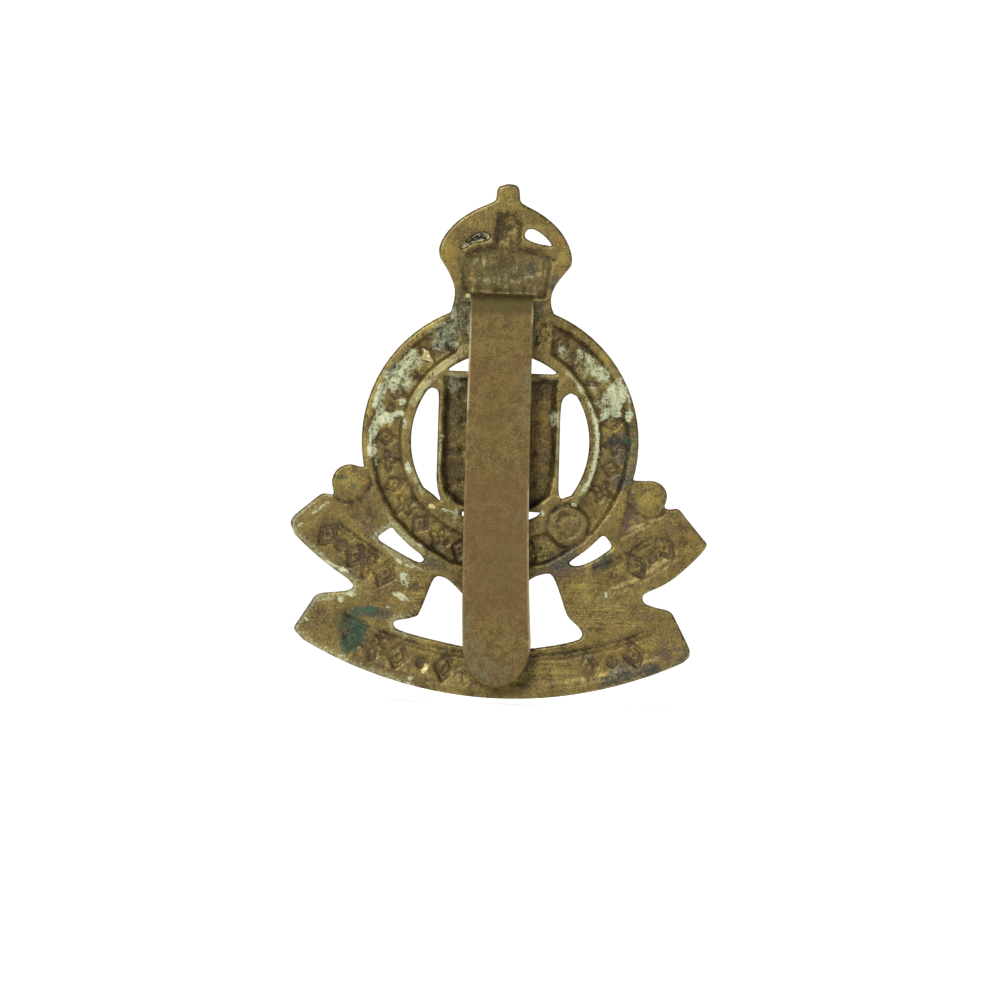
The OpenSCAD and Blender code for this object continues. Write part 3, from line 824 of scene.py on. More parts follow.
@dataclass(frozen=True)
class StruckBrass:
    """The plate's finish: tarnished brass with painted shade, partly dirt, in its lines and low spots,
    painted highlights on its outline and ridges, and crusts of verdigris.
    """

    light: Colour = linear(127, 111, 56)
    middle: Colour = linear(101, 85, 41)
    dark: Colour = linear(70, 55, 26)
    # Dark colour of the pits, and of the painted shade in the cut lines and low spots.
    grime_and_shade: Colour = linear(30, 21, 10)
    hollow: Colour = linear(63, 49, 15)
    purple: Colour = linear(84, 68, 53)
    slate: Colour = linear(54, 54, 47)
    gold: Colour = linear(138, 122, 54)
    # Painted highlight on the rims and the shield's edges, partly bare metal.
    pale: Colour = linear(152, 152, 108)
    bloom: Colour = linear(196, 196, 160)
    mint: Colour = linear(128, 142, 108)
    teal: Colour = linear(44, 84, 60)
    moss: Colour = linear(52, 60, 36)
    bare: Colour = linear(180, 162, 110)
    # Painted highlight, partly wear, along the outline and on ridges; also the colour of the bright flecks.
    edge: Colour = linear(150, 136, 82)
    ash: Colour = linear(98, 92, 60)
    rust: Colour = linear(132, 104, 44)
    clean: Colour = linear(148, 122, 62)

    def build(self) -> bpy.types.Material:
        """Makes the material."""
        material, graph = new_material("struck_brass")
        hollow, cut, edge = graph.masks("relief")
        bloom, teal, bare = graph.masks("patina")
        purple, slate, brushed = graph.masks("tarnish")
        shade, gold, pale = graph.masks("tone")
        ash, rust, clean = graph.masks("tint")
        grain = graph.add("ShaderNodeGroup", {}, node_tree=bpy.data.node_groups["metal_grain"])
        grain.inputs["Coarse"].default_value = 1.6
        grain.inputs["Fine"].default_value = 1.45
        lines = graph.add("ShaderNodeGroup", {}, node_tree=bpy.data.node_groups["brushed_lines"])
        mottle = graph.math("ADD", grain.outputs["Mottle"], graph.math(
            "MULTIPLY", graph.math("SUBTRACT", lines.outputs["Lines"], 0.5),
            graph.math("MULTIPLY", brushed, 0.5)), clamp=True)
        brown = graph.mix(graph.ramp(mottle, 0.0, 0.5), self.dark, self.middle)
        colour = graph.mix(graph.ramp(mottle, 0.5, 1.0), brown, self.light)
        sunk = graph.mix(graph.ramp(mottle, 0.3, 1.1), self.hollow, self.middle)
        colour = graph.mix(graph.math("MULTIPLY", hollow, 0.85), colour, sunk)
        # Here the shade mask lays painted shade, the pale mask painted highlight partly over bare metal, and
        # the edge mask painted highlight partly from wear.
        for mask, low, high, stain in (
                (clean, 0.0, 0.55, self.clean), (gold, 0.2, 0.7, self.gold), (rust, 0.1, 0.6, self.rust),
                (ash, 0.0, 0.5, self.ash), (shade, 1.1, 0.3, self.hollow), (pale, 0.15, 0.6, self.pale),
                (purple, 0.9, 0.2, self.purple), (slate, 1.3, 0.3, self.slate), (edge, 0.2, 0.8, self.edge)):
            colour = graph.lay(colour, mask, graph.ramp(mottle, low, high), stain)
        colour = graph.lay(colour, grain.outputs["Fleck"], 0.5, self.edge)
        colour = graph.lay(colour, grain.outputs["Pit"], 0.5, self.grime_and_shade)
        green = self.crust(graph, graph.math("MULTIPLY", teal, 0.8), 2.6)
        colour = graph.lay(colour, teal, 0.75, self.moss)
        colour = graph.lay(colour, green.outputs["Cover"], graph.ramp(mottle, 0.0, 1.2), self.teal)
        # Painted shade: the cut lines and the low spots of the relief are darkened, partly as dirt.
        colour = graph.lay(colour, cut, graph.ramp(mottle, 1.2, 0.1), self.grime_and_shade)
        white = self.crust(graph, bloom, 2.6)
        film = graph.math("MULTIPLY", graph.ramp(bloom, 0.2, 0.75), graph.ramp(mottle, -0.2, 0.8))
        colour = graph.lay(colour, film, 0.75, self.mint)
        colour = graph.lay(colour, white.outputs["Veins"], 0.75, self.bloom)
        chalk = graph.mix(graph.ramp(grain.outputs["Mottle"], 0.2, 0.6), self.mint, self.bloom)
        solid = graph.math("MULTIPLY", white.outputs["Cover"], graph.math(
            "MAXIMUM", graph.ramp(bloom, 0.6, 0.95), graph.ramp(bloom, 0.42, 0.3)))
        colour = graph.lay(colour, solid, 0.95, chalk)
        rubbed = self.crust(graph, bare, 0.5)
        colour = graph.mix(rubbed.outputs["Cover"], colour, self.bare)
        crusted = graph.math("MAXIMUM", green.outputs["Cover"], graph.math(
            "MAXIMUM", solid, graph.math("MULTIPLY", white.outputs["Veins"], 0.7)))
        height = graph.math("ADD", graph.math("MULTIPLY", grain.outputs["Height"], 0.6), crusted)
        height = graph.math("ADD", height, graph.math("MULTIPLY", graph.math(
            "MULTIPLY", lines.outputs["Lines"], brushed), 0.35))
        bump = graph.add("ShaderNodeBump", {"Height": height, "Strength": 0.55, "Distance": 0.00009})
        rough = graph.math("ADD", 0.42, graph.math("MULTIPLY", crusted, 0.4))
        rough = graph.math("ADD", rough, graph.math("MULTIPLY", cut, 0.2), clamp=True)
        metal = graph.math("MULTIPLY", graph.math("SUBTRACT", 1.0, crusted), 0.62)
        graph.surface({"Base Color": colour, "Roughness": rough, "Metallic": metal,
                       "Normal": bump.outputs["Normal"]})
        return material

    def crust(self, graph: Graph, mask: bpy.types.NodeSocket, crumb: float) -> bpy.types.Node:
        """Places the crust group on a mask."""
        node = graph.add("ShaderNodeGroup", {}, node_tree=bpy.data.node_groups["crust"])
        graph.tree.links.new(mask, node.inputs["Mask"])
        node.inputs["Crumb"].default_value = crumb
        return node


@dataclass(frozen=True)
class StripBrass:
    """The slider's finish: smooth rolled brass, evenly browned, with pale edges from wear and painted
    highlight, and painted shade on its fold and foot.
    """

    light: Colour = linear(112, 94, 50)
    middle: Colour = linear(86, 70, 35)
    red: Colour = linear(98, 72, 39)
    olive: Colour = linear(86, 79, 35)
    dark: Colour = linear(52, 47, 24)
    grey: Colour = linear(98, 94, 68)
    # Colour of the pale edges: wear and painted highlight.
    edge_wear_and_highlight: Colour = linear(180, 170, 130)

    def build(self) -> bpy.types.Material:
        """Makes the material."""
        material, graph = new_material("strip_brass")
        edge_wear_and_highlight, haze, olive = graph.masks("wear")
        place = graph.add("ShaderNodeTexCoord").outputs["Object"]
        grain = graph.add("ShaderNodeGroup", {}, node_tree=bpy.data.node_groups["metal_grain"])
        grain.inputs["Coarse"].default_value = 0.5
        grain.inputs["Fine"].default_value = 1.6
        strip_painted_shade = graph.masks("fold_and_foot_shade")[0]
        mottle = grain.outputs["Mottle"]
        patch = graph.noise(place, 7.0, 3.0)
        colour = graph.mix(graph.ramp(mottle, 0.15, 0.85), self.middle, self.light)
        colour = graph.lay(colour, graph.ramp(patch, 0.42, 0.62), 0.55, self.red)
        colour = graph.lay(colour, olive, 0.6, self.olive)
        colour = graph.lay(colour, haze, graph.ramp(mottle, 0.2, 0.7), self.grey)
        # Painted shade on the top of the fold and on the foot.
        colour = graph.lay(colour, strip_painted_shade, 0.4, self.dark)
        colour = graph.lay(colour, grain.outputs["Fleck"], 0.4, self.grey)
        colour = graph.lay(colour, grain.outputs["Pit"], 0.35, self.dark)
        # Pale edges: wear, and painted highlight on the lit edges.
        colour = graph.lay(colour, edge_wear_and_highlight, 0.75, self.edge_wear_and_highlight)
        height = grain.outputs["Height"]
        bump = graph.add("ShaderNodeBump", {"Height": height, "Strength": 0.25, "Distance": 0.00004})
        rough = graph.math("ADD", graph.math("MULTIPLY", strip_painted_shade, 0.2), graph.math(
            "ADD", 0.36, graph.math("MULTIPLY", mottle, 0.14)))
        graph.surface({"Base Color": colour, "Roughness": rough,
                       "Normal": bump.outputs["Normal"], "Metallic": 0.7})
        return material


@dataclass(frozen=True)
class Crumbs:
    """A dull crumbly crust, such as burnt flux or packed dirt."""

    name: str
    dark: Colour
    middle: Colour
    pale: Colour
    rim: Colour

    def build(self) -> bpy.types.Material:
        """Makes the material."""
        material, graph = new_material(self.name)
        place = graph.add("ShaderNodeTexCoord").outputs["Object"]
        crumbs = graph.noise(place, 0.36, 4.0)
        tiny = graph.noise(place, 0.14, 2.0)
        total = graph.math("ADD", graph.math("MULTIPLY", crumbs, 0.65), graph.math("MULTIPLY", tiny, 0.35))
        colour = graph.mix(graph.ramp(total, 0.36, 0.52), self.dark, self.middle)
        colour = graph.mix(graph.ramp(total, 0.52, 0.63), colour, self.pale)
        border = graph.math("MULTIPLY", graph.masks("rim")[0], graph.ramp(total, 0.3, 0.5))
        colour = graph.mix(border, colour, self.rim)
        bump = graph.add("ShaderNodeBump", {"Height": total, "Strength": 0.8, "Distance": 0.00015})
        graph.surface({"Base Color": colour, "Roughness": 0.8, "Normal": bump.outputs["Normal"],
                       "Metallic": 0.15, "Specular IOR Level": 0.25})
        return material


FLUX = Crumbs("braze_crust", dark=linear(38, 36, 24), middle=linear(92, 88, 62), pale=linear(172, 170, 136),
              rim=linear(96, 86, 50))
DIRT = Crumbs("packed_dirt", dark=linear(30, 32, 22), middle=linear(62, 64, 44), pale=linear(176, 176, 146),
              rim=linear(206, 200, 162))


# --- sub-assemblies ---


@dataclass
class StruckPlate:
    """The pierced plate, struck in relief."""

    finish: StruckBrass
    plan: PlatePlan = field(default_factory=PlatePlan)
    pitch: float = 0.145
    cut_y: float = -0.85
    bloom: tuple[Spot, ...] = (
        (5.9, 9.7, 1.5, 1.9, 10, 0.38), (4.9, 10.9, 0.7, 1.4, 0, 0.42), (4.6, 8.9, 0.8, 0.5, 0, 0.46),
        (9.9, 5.2, 1.9, 1.7, 30, 0.52), (8.7, 7.0, 1.8, 1.2, -45, 0.5), (11.4, 2.6, 0.9, 2.8, 0, 0.52),
        (-10.4, 4.6, 1.8, 2.8, 20, 0.54), (-8.4, 7.4, 1.9, 1.0, 40, 0.42), (4.5, 5.2, 1.2, 1.2, 0, 0.34),
        (4.6, 10.6, 1.1, 2.6, 0, 0.36), (-10.7, 4.4, 1.5, 2.1, 20, 0.78), (-11.8, 2.8, 0.5, 0.6, 0, 1.0),
        (-10.6, 3.0, 0.8, 0.5, 0, 0.95), (-9.7, 2.8, 0.5, 0.5, 0, 0.9), (-9.2, 6.6, 1.5, 0.9, 40, 0.62),
        (-7.6, 8.2, 1.4, 0.8, 35, 0.5), (-5.4, 8.8, 0.5, 0.5, 0, 0.5), (-4.9, 2.2, 0.5, 1.1, 0, 0.55),
        (9.6, 2.2, 0.8, 0.5, 0, 0.9), (10.9, 1.9, 1.1, 0.7, 10, 0.9), (9.6, 6.0, 2.4, 0.6, 125, 0.72),
        (10.3, 5.2, 0.9, 0.9, 0, 0.6), (8.6, 7.9, 0.7, 0.5, -40, 0.7), (9.3, 3.4, 0.5, 0.5, 0, 0.7),
        (11.6, 3.6, 2.2, 0.4, 105, 0.85), (12.0, -0.2, 2.4, 0.35, 93, 0.9), (9.0, 1.3, 0.3, 0.9, 0, 0.6),
        (3.5, 13.4, 0.35, 0.4, 0, 1.0), (3.8, -6.7, 0.25, 0.6, 0, 0.8), (5.4, 0.3, 0.3, 0.3, 0, 0.8),
        (8.4, -2.9, 0.35, 0.9, -20, 0.75), (4.6, -6.6, 1.2, 0.25, 15, 0.5), (9.0, -11.5, 0.6, 0.22, 25, 0.9),
        (7.4, -12.0, 1.6, 0.3, 15, 0.5), (7.0, -10.0, 0.5, 0.3, 40, 0.5), (8.4, -13.1, 0.9, 0.7, 60, 0.6),
        (8.7, -14.8, 1.0, 0.45, 25, 0.65), (9.8, -15.8, 0.35, 0.25, 0, 0.9),
        (14.1, -12.6, 0.6, 0.35, 20, 0.95), (15.3, -12.0, 0.9, 0.2, 25, 0.75),
        (13.2, -14.7, 0.6, 0.25, 0, 0.8), (14.3, -15.3, 0.4, 0.4, 0, 0.8),
        (15.6, -15.2, 1.6, 0.4, -10, 0.45), (17.4, -17.2, 0.3, 0.14, 50, 0.7),
        (16.6, -6.9, 1.7, 0.25, -38, 0.55), (18.2, -8.4, 0.4, 0.14, -40, 0.6),
        (15.6, -5.6, 0.5, 0.2, 0, 0.6), (7.5, -22.3, 0.35, 0.25, 0, 0.9), (7.6, -22.9, 0.7, 0.15, 10, 0.8),
        (11.4, -17.6, 1.6, 0.2, 20, 0.3), (-10.4, -13.9, 0.2, 0.4, 0, 0.7),
        (-9.1, -19.6, 0.6, 0.4, -30, 0.4), (-4.2, -6.5, 0.3, 0.3, 0, 0.8), (-5.6, -4.9, 0.25, 0.25, 0, 0.7),
        (-7.1, -5.6, 0.35, 0.25, 30, 0.9), (6.1, 3.6, 0.2, 0.9, 0, 0.35), (5.5, -1.2, 0.2, 3.0, 0, 0.45),
        (-5.35, 2.0, 0.2, 1.4, 0, 0.4))
    teal: tuple[Spot, ...] = (
        (-11.9, 0.5, 0.5, 0.5, 0, 0.85), (-7.7, -4.9, 0.5, 0.35, -30, 0.85), (-10.9, 5.0, 0.5, 0.9, 0, 0.45),
        (10.3, 6.2, 0.5, 0.9, 30, 0.9), (9.0, 1.3, 0.3, 0.6, 0, 0.6), (10.9, 2.2, 0.5, 0.4, 0, 0.5),
        (11.9, -16.3, 2.1, 0.6, -3, 1.0), (13.2, -17.3, 1.6, 1.0, 20, 0.95),
        (12.8, -18.8, 1.3, 1.8, 15, 1.0), (13.4, -19.9, 0.7, 0.5, 0, 0.8), (14.2, -17.9, 0.6, 0.6, 0, 0.7),
        (13.4, -4.6, 0.35, 0.3, 0, 0.75), (14.7, -3.9, 0.7, 0.3, 0, 0.7), (-10.4, -10.5, 0.6, 0.9, 0, 0.55))
    bare: tuple[Spot, ...] = (
        (7.0, 7.6, 1.15, 0.42, 60, 1.0), (6.1, -6.3, 0.5, 0.3, 20, 1.0), (6.2, -21.4, 0.85, 0.32, -68, 1.0))
    purple: tuple[Spot, ...] = (
        (-12.6, -6.9, 1.4, 1.7, 20, 1.0), (-12.5, -4.6, 0.3, 1.0, 0, 0.8), (-10.7, -1.2, 0.9, 0.7, 0, 0.8),
        (-10.3, -3.1, 0.8, 0.5, 0, 0.7), (-16.4, -7.6, 1.0, 0.6, 0, 0.7), (-16.4, -18.9, 1.3, 1.7, -30, 1.0),
        (-14.6, -15.8, 1.4, 0.7, -10, 0.6), (-6.9, -7.5, 0.8, 0.7, 0, 0.8), (-7.6, -6.8, 0.6, 0.6, 0, 0.7),
        (9.7, -0.4, 0.3, 0.7, 0, 0.9), (10.1, -1.6, 0.9, 0.5, 0, 0.6), (14.9, -9.9, 0.9, 0.5, -60, 0.2),
        (16.3, -7.9, 0.9, 0.4, -15, 0.8), (13.0, -11.9, 0.9, 0.4, -60, 0.7), (17.1, -9.0, 0.5, 0.6, 0, 0.6),
        (7.6, -20.7, 0.3, 1.2, 5, 0.8), (10.2, -21.0, 1.0, 0.6, -30, 0.6), (17.2, -17.8, 0.8, 0.4, 40, 0.7),
        (-6.2, -11.8, 2.4, 0.8, -10, 0.75), (11.4, -3.6, 0.5, 1.4, -15, 0.8),
        (12.0, -6.0, 0.4, 1.3, -10, 0.6), (11.9, -8.6, 1.4, 0.9, 30, 0.35), (9.2, -8.6, 2.4, 0.5, 40, 0.4),
        (14.2, -18.6, 0.6, 1.1, 0, 0.5), (-4.0, -1.0, 0.9, 1.4, 0, 0.4), (-3.0, -17.2, 1.0, 1.0, 0, 0.2),
        (12.4, 0.9, 0.25, 0.9, 10, 0.5))
    slate: tuple[Spot, ...] = (
        (-12.0, -1.2, 0.9, 2.7, 0, 1.0), (4.4, 12.0, 0.7, 1.6, 0, 0.6), (-11.3, 0.6, 1.6, 0.8, 3, 1.0),
        (-12.2, -0.6, 1.1, 2.6, 0, 1.0), (-11.8, -3.0, 0.9, 1.2, 0, 0.9), (-10.4, -1.2, 1.0, 0.6, 0, 0.6),
        (-13.2, -21.4, 2.6, 1.1, 18, 1.0), (12.9, -18.2, 1.7, 1.8, 0, 0.9), (10.9, -16.3, 2.1, 0.9, -5, 0.8),
        (-12.0, 1.9, 0.5, 0.5, 0, 0.7), (-12.2, -21.4, 2.4, 1.5, -15, 1.0),
        (-14.6, -20.9, 2.6, 0.8, -20, 1.0), (-18.3, -19.2, 1.0, 2.2, 20, 1.0),
        (-6.4, -10.9, 2.0, 1.0, -25, 0.85), (-9.7, -10.8, 1.7, 1.0, -20, 0.9),
        (5.6, 9.6, 1.2, 2.4, 10, 0.75), (4.2, 12.6, 0.8, 1.2, 0, 0.85), (3.9, 14.4, 0.8, 0.8, 0, 0.5),
        (9.8, 9.2, 2.4, 0.4, -48, 0.8), (8.6, -9.9, 3.4, 0.5, 37, 0.45), (6.0, -11.6, 2.6, 0.5, 20, 0.55),
        (-4.4, 15.2, 0.7, 0.9, 0, 0.7), (-2.3, 16.1, 1.1, 0.8, 0, 0.5), (-5.8, 19.3, 0.5, 0.5, 0, 0.2),
        (3.9, 1.6, 0.6, 2.0, 0, 0.3), (-2.4, -20.2, 2.0, 0.5, 0, 0.3), (16.0, -16.3, 1.4, 0.3, 30, 0.3),
        # The slate at (-3.3, 12.6) is painted shadow beside the slider's fold.
        (-3.3, 12.6, 0.5, 1.2, 0, 0.6), (13.6, -12.4, 2.6, 0.5, 35, 0.4))
    shade: tuple[Spot, ...] = (
        (5.0, -10.0, 2.8, 1.6, 25, 0.8), (-4.6, -10.0, 2.6, 1.6, -25, 0.7), (-5.4, 10.2, 2.4, 1.2, -30, 0.7),
        (0.1, 15.2, 4.6, 3.0, 0, 0.5), (11.0, -18.8, 3.2, 1.4, 20, 0.5), (13.0, -11.0, 3.6, 1.2, 38, 0.35),
        (0.1, 20.2, 1.5, 1.7, 0, 1.0), (0.1, 15.8, 5.0, 2.6, 0, 0.7), (0.1, 17.7, 4.6, 0.5, 0, 0.6),
        (-3.6, 11.9, 1.6, 0.8, -25, 0.7), (-6.4, 10.2, 3.4, 0.6, 32, 0.85), (-4.3, 9.4, 1.3, 1.0, 0, 0.7),
        (-3.4, 13.3, 0.6, 1.2, 0, 0.9), (4.4, 11.0, 1.2, 2.8, 0, 0.45), (4.3, -1.0, 1.0, 6.0, 0, 0.6),
        (-4.0, -4.6, 1.3, 1.4, 0, 0.35), (4.3, -2.4, 1.0, 3.6, 0, 0.8), (-4.6, -10.8, 2.4, 1.4, -20, 1.0),
        (-4.9, -11.9, 2.6, 0.5, -25, 0.8), (-3.6, -8.2, 1.0, 1.4, 0, 0.75), (4.6, -11.1, 2.6, 0.8, 25, 0.75),
        (4.1, -8.3, 1.6, 0.5, 30, 0.7), (3.9, 6.3, 1.2, 0.4, 0, 0.7), (-4.2, 5.9, 1.4, 0.4, 0, 0.6),
        (-3.1, -7.0, 0.8, 0.6, 0, 0.8), (-3.0, -16.0, 0.7, 5.0, 0, 0.2), (3.4, -13.2, 0.8, 1.4, -40, 0.8),
        (-13.2, -20.9, 3.0, 0.8, -20, 0.5), (-16.4, -19.4, 0.9, 0.7, -20, 0.8),
        (4.0, -20.6, 1.4, 1.4, 0, 0.5), (9.6, -21.6, 2.6, 0.8, 15, 0.5), (9.4, -18.6, 2.6, 0.4, 22, 0.4),
        (12.4, -21.0, 2.6, 0.7, 22, 0.4), (6.0, -13.4, 0.4, 2.4, 15, 0.4), (-6.3, -14.4, 0.4, 2.4, -18, 0.4),
        (11.4, -15.0, 2.2, 0.5, 15, 0.4), (17.6, -10.2, 1.6, 0.4, 40, 0.5),
        (-17.4, -10.4, 2.6, 0.35, -40, 0.35), (12.1, -10.9, 3.4, 0.4, 38, 0.3))
    gold: tuple[Spot, ...] = (
        (13.9, -4.0, 1.7, 1.5, 0, 0.8), (-14.2, -4.8, 1.8, 1.6, 0, 0.8), (-10.4, 1.9, 1.5, 1.1, 0, 1.0),
        (10.4, 1.0, 1.0, 0.5, 0, 0.9), (7.6, 6.2, 1.0, 0.8, 40, 0.8), (-8.8, 8.2, 1.1, 0.7, 45, 0.7),
        (-11.6, -5.6, 0.7, 2.2, 15, 0.8), (-17.0, -7.4, 1.8, 0.5, 40, 0.7), (-18.0, -9.4, 1.0, 0.8, 0, 0.6),
        (0.2, 23.0, 0.9, 1.0, 0, 0.8), (-5.2, 17.6, 0.7, 1.6, 0, 0.7), (5.6, 17.6, 0.7, 1.6, 0, 0.7),
        (-3.6, 20.6, 1.8, 0.6, -32, 0.5), (3.6, 20.6, 1.8, 0.6, 32, 0.5), (-10.4, -15.4, 3.4, 1.6, 0, 0.25),
        (-8.0, -13.6, 1.6, 1.2, 0, 0.6), (-10.2, -21.0, 0.7, 1.2, 0, 0.9), (-14.6, -18.8, 1.6, 1.0, 0, 0.5),
        (-4.6, -21.3, 3.4, 1.0, 0, 0.5), (0.0, -22.6, 5.0, 0.8, 0, 0.4), (12.4, -9.4, 1.2, 1.0, 0, 0.6),
        (5.2, -9.0, 1.6, 0.9, 30, 0.5), (8.2, -6.0, 1.4, 0.9, 40, 0.5), (9.9, -4.2, 0.9, 0.8, 0, 0.5),
        (-5.6, -7.6, 0.6, 1.4, 0, 0.5), (-4.2, -9.4, 0.5, 1.0, 0, 0.4), (7.2, -14.0, 1.2, 1.8, 0, 0.95),
        (-11.4, -11.4, 1.6, 0.8, -30, 0.5), (15.4, -16.6, 1.0, 0.8, 0, 0.5), (14.9, -9.7, 1.3, 1.0, 0, 0.5),
        (6.0, -19.0, 1.6, 0.5, 10, 0.6))
    ash: tuple[Spot, ...] = (
        (0.1, 15.7, 5.6, 2.6, 0, 0.95), (-2.3, 16.2, 1.6, 1.2, 0, 1.0), (4.4, 10.4, 1.4, 3.0, 0, 0.7),
        (4.5, 5.0, 1.3, 1.6, 0, 1.0), (4.6, 5.9, 1.3, 0.6, 0, 1.0), (-4.6, -7.6, 1.0, 0.5, -30, 0.6),
        (-12.6, -20.6, 2.6, 1.0, -20, 0.6), (8.6, 10.0, 3.0, 0.35, -48, 0.5), (-3.6, 12.2, 0.6, 1.2, 0, 0.7),
        (5.0, 3.0, 0.7, 2.4, 0, 0.5))
    rust: tuple[Spot, ...] = (
        (-10.4, 1.9, 1.4, 1.0, 0, 0.8), (9.9, 0.4, 0.9, 0.8, 0, 0.7), (-12.2, -19.0, 2.4, 0.9, -18, 0.6),
        (5.2, 17.2, 0.8, 1.8, 10, 0.9), (5.0, 15.2, 0.4, 1.2, 0, 0.6), (-5.0, 18.9, 1.2, 1.0, -40, 0.8),
        (-4.9, 15.4, 0.5, 1.6, 0, 0.6), (3.6, 20.8, 1.8, 0.5, 30, 0.6), (-3.4, 20.7, 1.4, 0.5, -35, 0.5),
        (-9.6, 8.2, 2.0, 0.8, -48, 0.6), (-15.4, -9.0, 2.2, 0.7, 45, 0.35), (9.2, -5.0, 1.4, 0.8, 45, 0.45),
        (7.4, -8.4, 1.4, 0.7, 40, 0.4), (-4.0, 0.6, 1.2, 4.6, 0, 0.55), (-10.0, -17.4, 3.0, 0.7, -10, 0.35),
        (12.0, -12.8, 1.6, 0.6, 35, 0.4), (0.2, 20.9, 0.8, 0.6, 0, 0.5), (-17.6, -8.3, 1.0, 0.7, 0, 0.35),
        (9.4, -18.6, 2.4, 0.5, 20, 0.4), (-8.0, -6.0, 1.2, 0.6, 40, 0.4))
    # The shade arcs are painted shade; the pale arc on the inner rim from 128 to 217 degrees is a painted
    # highlight.
    rings: tuple[tuple[str, Arc], ...] = (
        ("bloom", (11.75, 0.3, -14.0, 44.0, 0.62)), ("slate", (12.0, 0.8, 171.0, 199.0, 1.0)),
        ("purple", (11.3, 1.2, 178.0, 199.0, 1.0)), ("shade", (8.55, 0.25, 160.0, 214.0, 0.7)),
        ("bloom", (9.0, 0.3, 134.0, 150.0, 0.5)), ("bare", (8.62, 0.34, 15.0, 67.0, 0.42)),
        ("pale", (8.75, 0.38, 18.0, 68.0, 1.0)), ("pale", (8.95, 0.26, 128.0, 217.0, 0.9)),
        ("bloom", (9.0, 0.2, 150.0, 212.0, 0.6)), ("bloom", (9.1, 0.24, 160.0, 210.0, 0.8)),
        ("gold", (12.45, 0.4, 44.0, 76.0, 1.0)), ("gold", (12.5, 0.3, -16.0, 30.0, 0.8)),
        ("pale", (8.6, 0.3, -38.0, -18.0, 0.7)), ("shade", (11.9, 0.45, 100.0, 140.0, 0.9)),
        ("shade", (11.9, 0.35, 230.0, 262.0, 0.8)), ("shade", (11.9, 0.35, 285.0, 322.0, 0.8)),
        ("pale", (12.5, 0.35, 296.0, 330.0, 0.35)))
    # Painted highlights along the rims and the shield's edges, partly bare metal.
    pale: tuple[Spot, ...] = (
        (5.55, -1.0, 0.25, 4.6, 0, 0.7), (4.6, 6.0, 1.6, 0.25, 0, 0.6), (5.9, 5.4, 0.3, 0.8, -40, 0.6),
        (-5.4, 0.0, 0.2, 5.0, 0, 0.45), (-4.6, 5.9, 1.2, 0.2, 0, 0.4), (4.6, -6.7, 1.4, 0.25, 15, 0.7),
        (3.9, -7.2, 0.3, 0.6, 0, 0.8), (-8.4, 5.4, 1.2, 0.3, 60, 0.8), (-7.9, 6.6, 1.4, 0.3, -40, 0.5),
        (9.2, -11.2, 1.6, 0.3, 25, 0.5), (6.6, -12.2, 2.0, 0.4, 15, 0.4), (-6.0, 8.0, 1.2, 0.8, 35, 0.4),
        (15.0, -14.6, 2.4, 0.3, -5, 0.3), (-7.5, 7.4, 1.6, 1.0, 30, 0.35))
    brushed: tuple[Spot, ...] = (
        (-9.6, -15.4, 5.0, 3.4, 0, 1.0), (-5.0, -21.3, 5.0, 1.8, 0, 0.9), (7.2, -14.2, 1.7, 2.4, 0, 0.9),
        (0.0, -22.4, 5.0, 1.5, 0, 0.6), (-8.0, -12.2, 3.5, 1.0, 0, 0.6))

    def build(self) -> bpy.types.Object:
        """Builds the plate around the CAD plate's own outline.

        Returns:
            The plate as one closed mesh.
        """
        starts, ends = section(bpy.data.objects["badge_plate"], self.cut_y * MM)
        sheet = fill_outline(starts, ends, self.pitch)
        piece = thicken(sheet, "badge_plate_struck", -1.0)
        self.strike(piece.data, sheet)
        return piece

    def strike(self, mesh: bpy.types.Mesh, sheet: Sheet) -> None:
        """Gives both faces their relief, and paints the masks of wear and tarnish, and of painted shade and
        painted highlight.
        """
        co = coordinates(mesh)
        x, z, is_front = co[:, 0], co[:, 2], co[:, 1] < -0.5
        rim = sheet.rim_distance(x, z)
        rim = np.where(rim < 1e-3, 0.0, rim)
        r = self.plan.edge_round
        fall = r - np.sqrt(np.maximum(r * r - (r - np.minimum(rim, r)) ** 2, 0.0))
        lumps = cloud(x, z, 1.6, 3)
        crumbs = cloud(x, z, 0.45, 2, 5.0)
        depth, cut, inked = self.plan.back(x, z)
        height = self.plan.front(x, z) - fall - 0.02 + 0.015 * lumps
        away = smooth(rim, 0.6)
        depth = depth * away + fall + 0.03 + (0.02 * lumps + 0.012 * crumbs) * away
        y = np.where(is_front, -height, -depth)
        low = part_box("badge_plate")[0].y / MM
        move_to(mesh, np.stack([x, np.maximum(y, low), z], axis=1))
        self.tarnish(mesh, x, z, is_front, rim, depth, cut, inked)

    def tarnish(self, mesh: bpy.types.Mesh, x: np.ndarray, z: np.ndarray, is_front: np.ndarray,
                rim: np.ndarray, depth: np.ndarray, cut: np.ndarray, inked: np.ndarray) -> None:
        """Paints the masks. The struck face is cleaner than the back."""
        back = np.where(is_front, 0.0, 1.0)
        ragged = cloud(x, z, 0.9, 4, 11.0)
        high = coordinates(mesh)[:, 1] / MM
        stand = np.zeros_like(high)
        for side, sign in ((is_front, -1.0), (~is_front, 1.0)):
            stand[side] = sign * (high[side] - local_mean(high[side], x[side], z[side], 0.6))
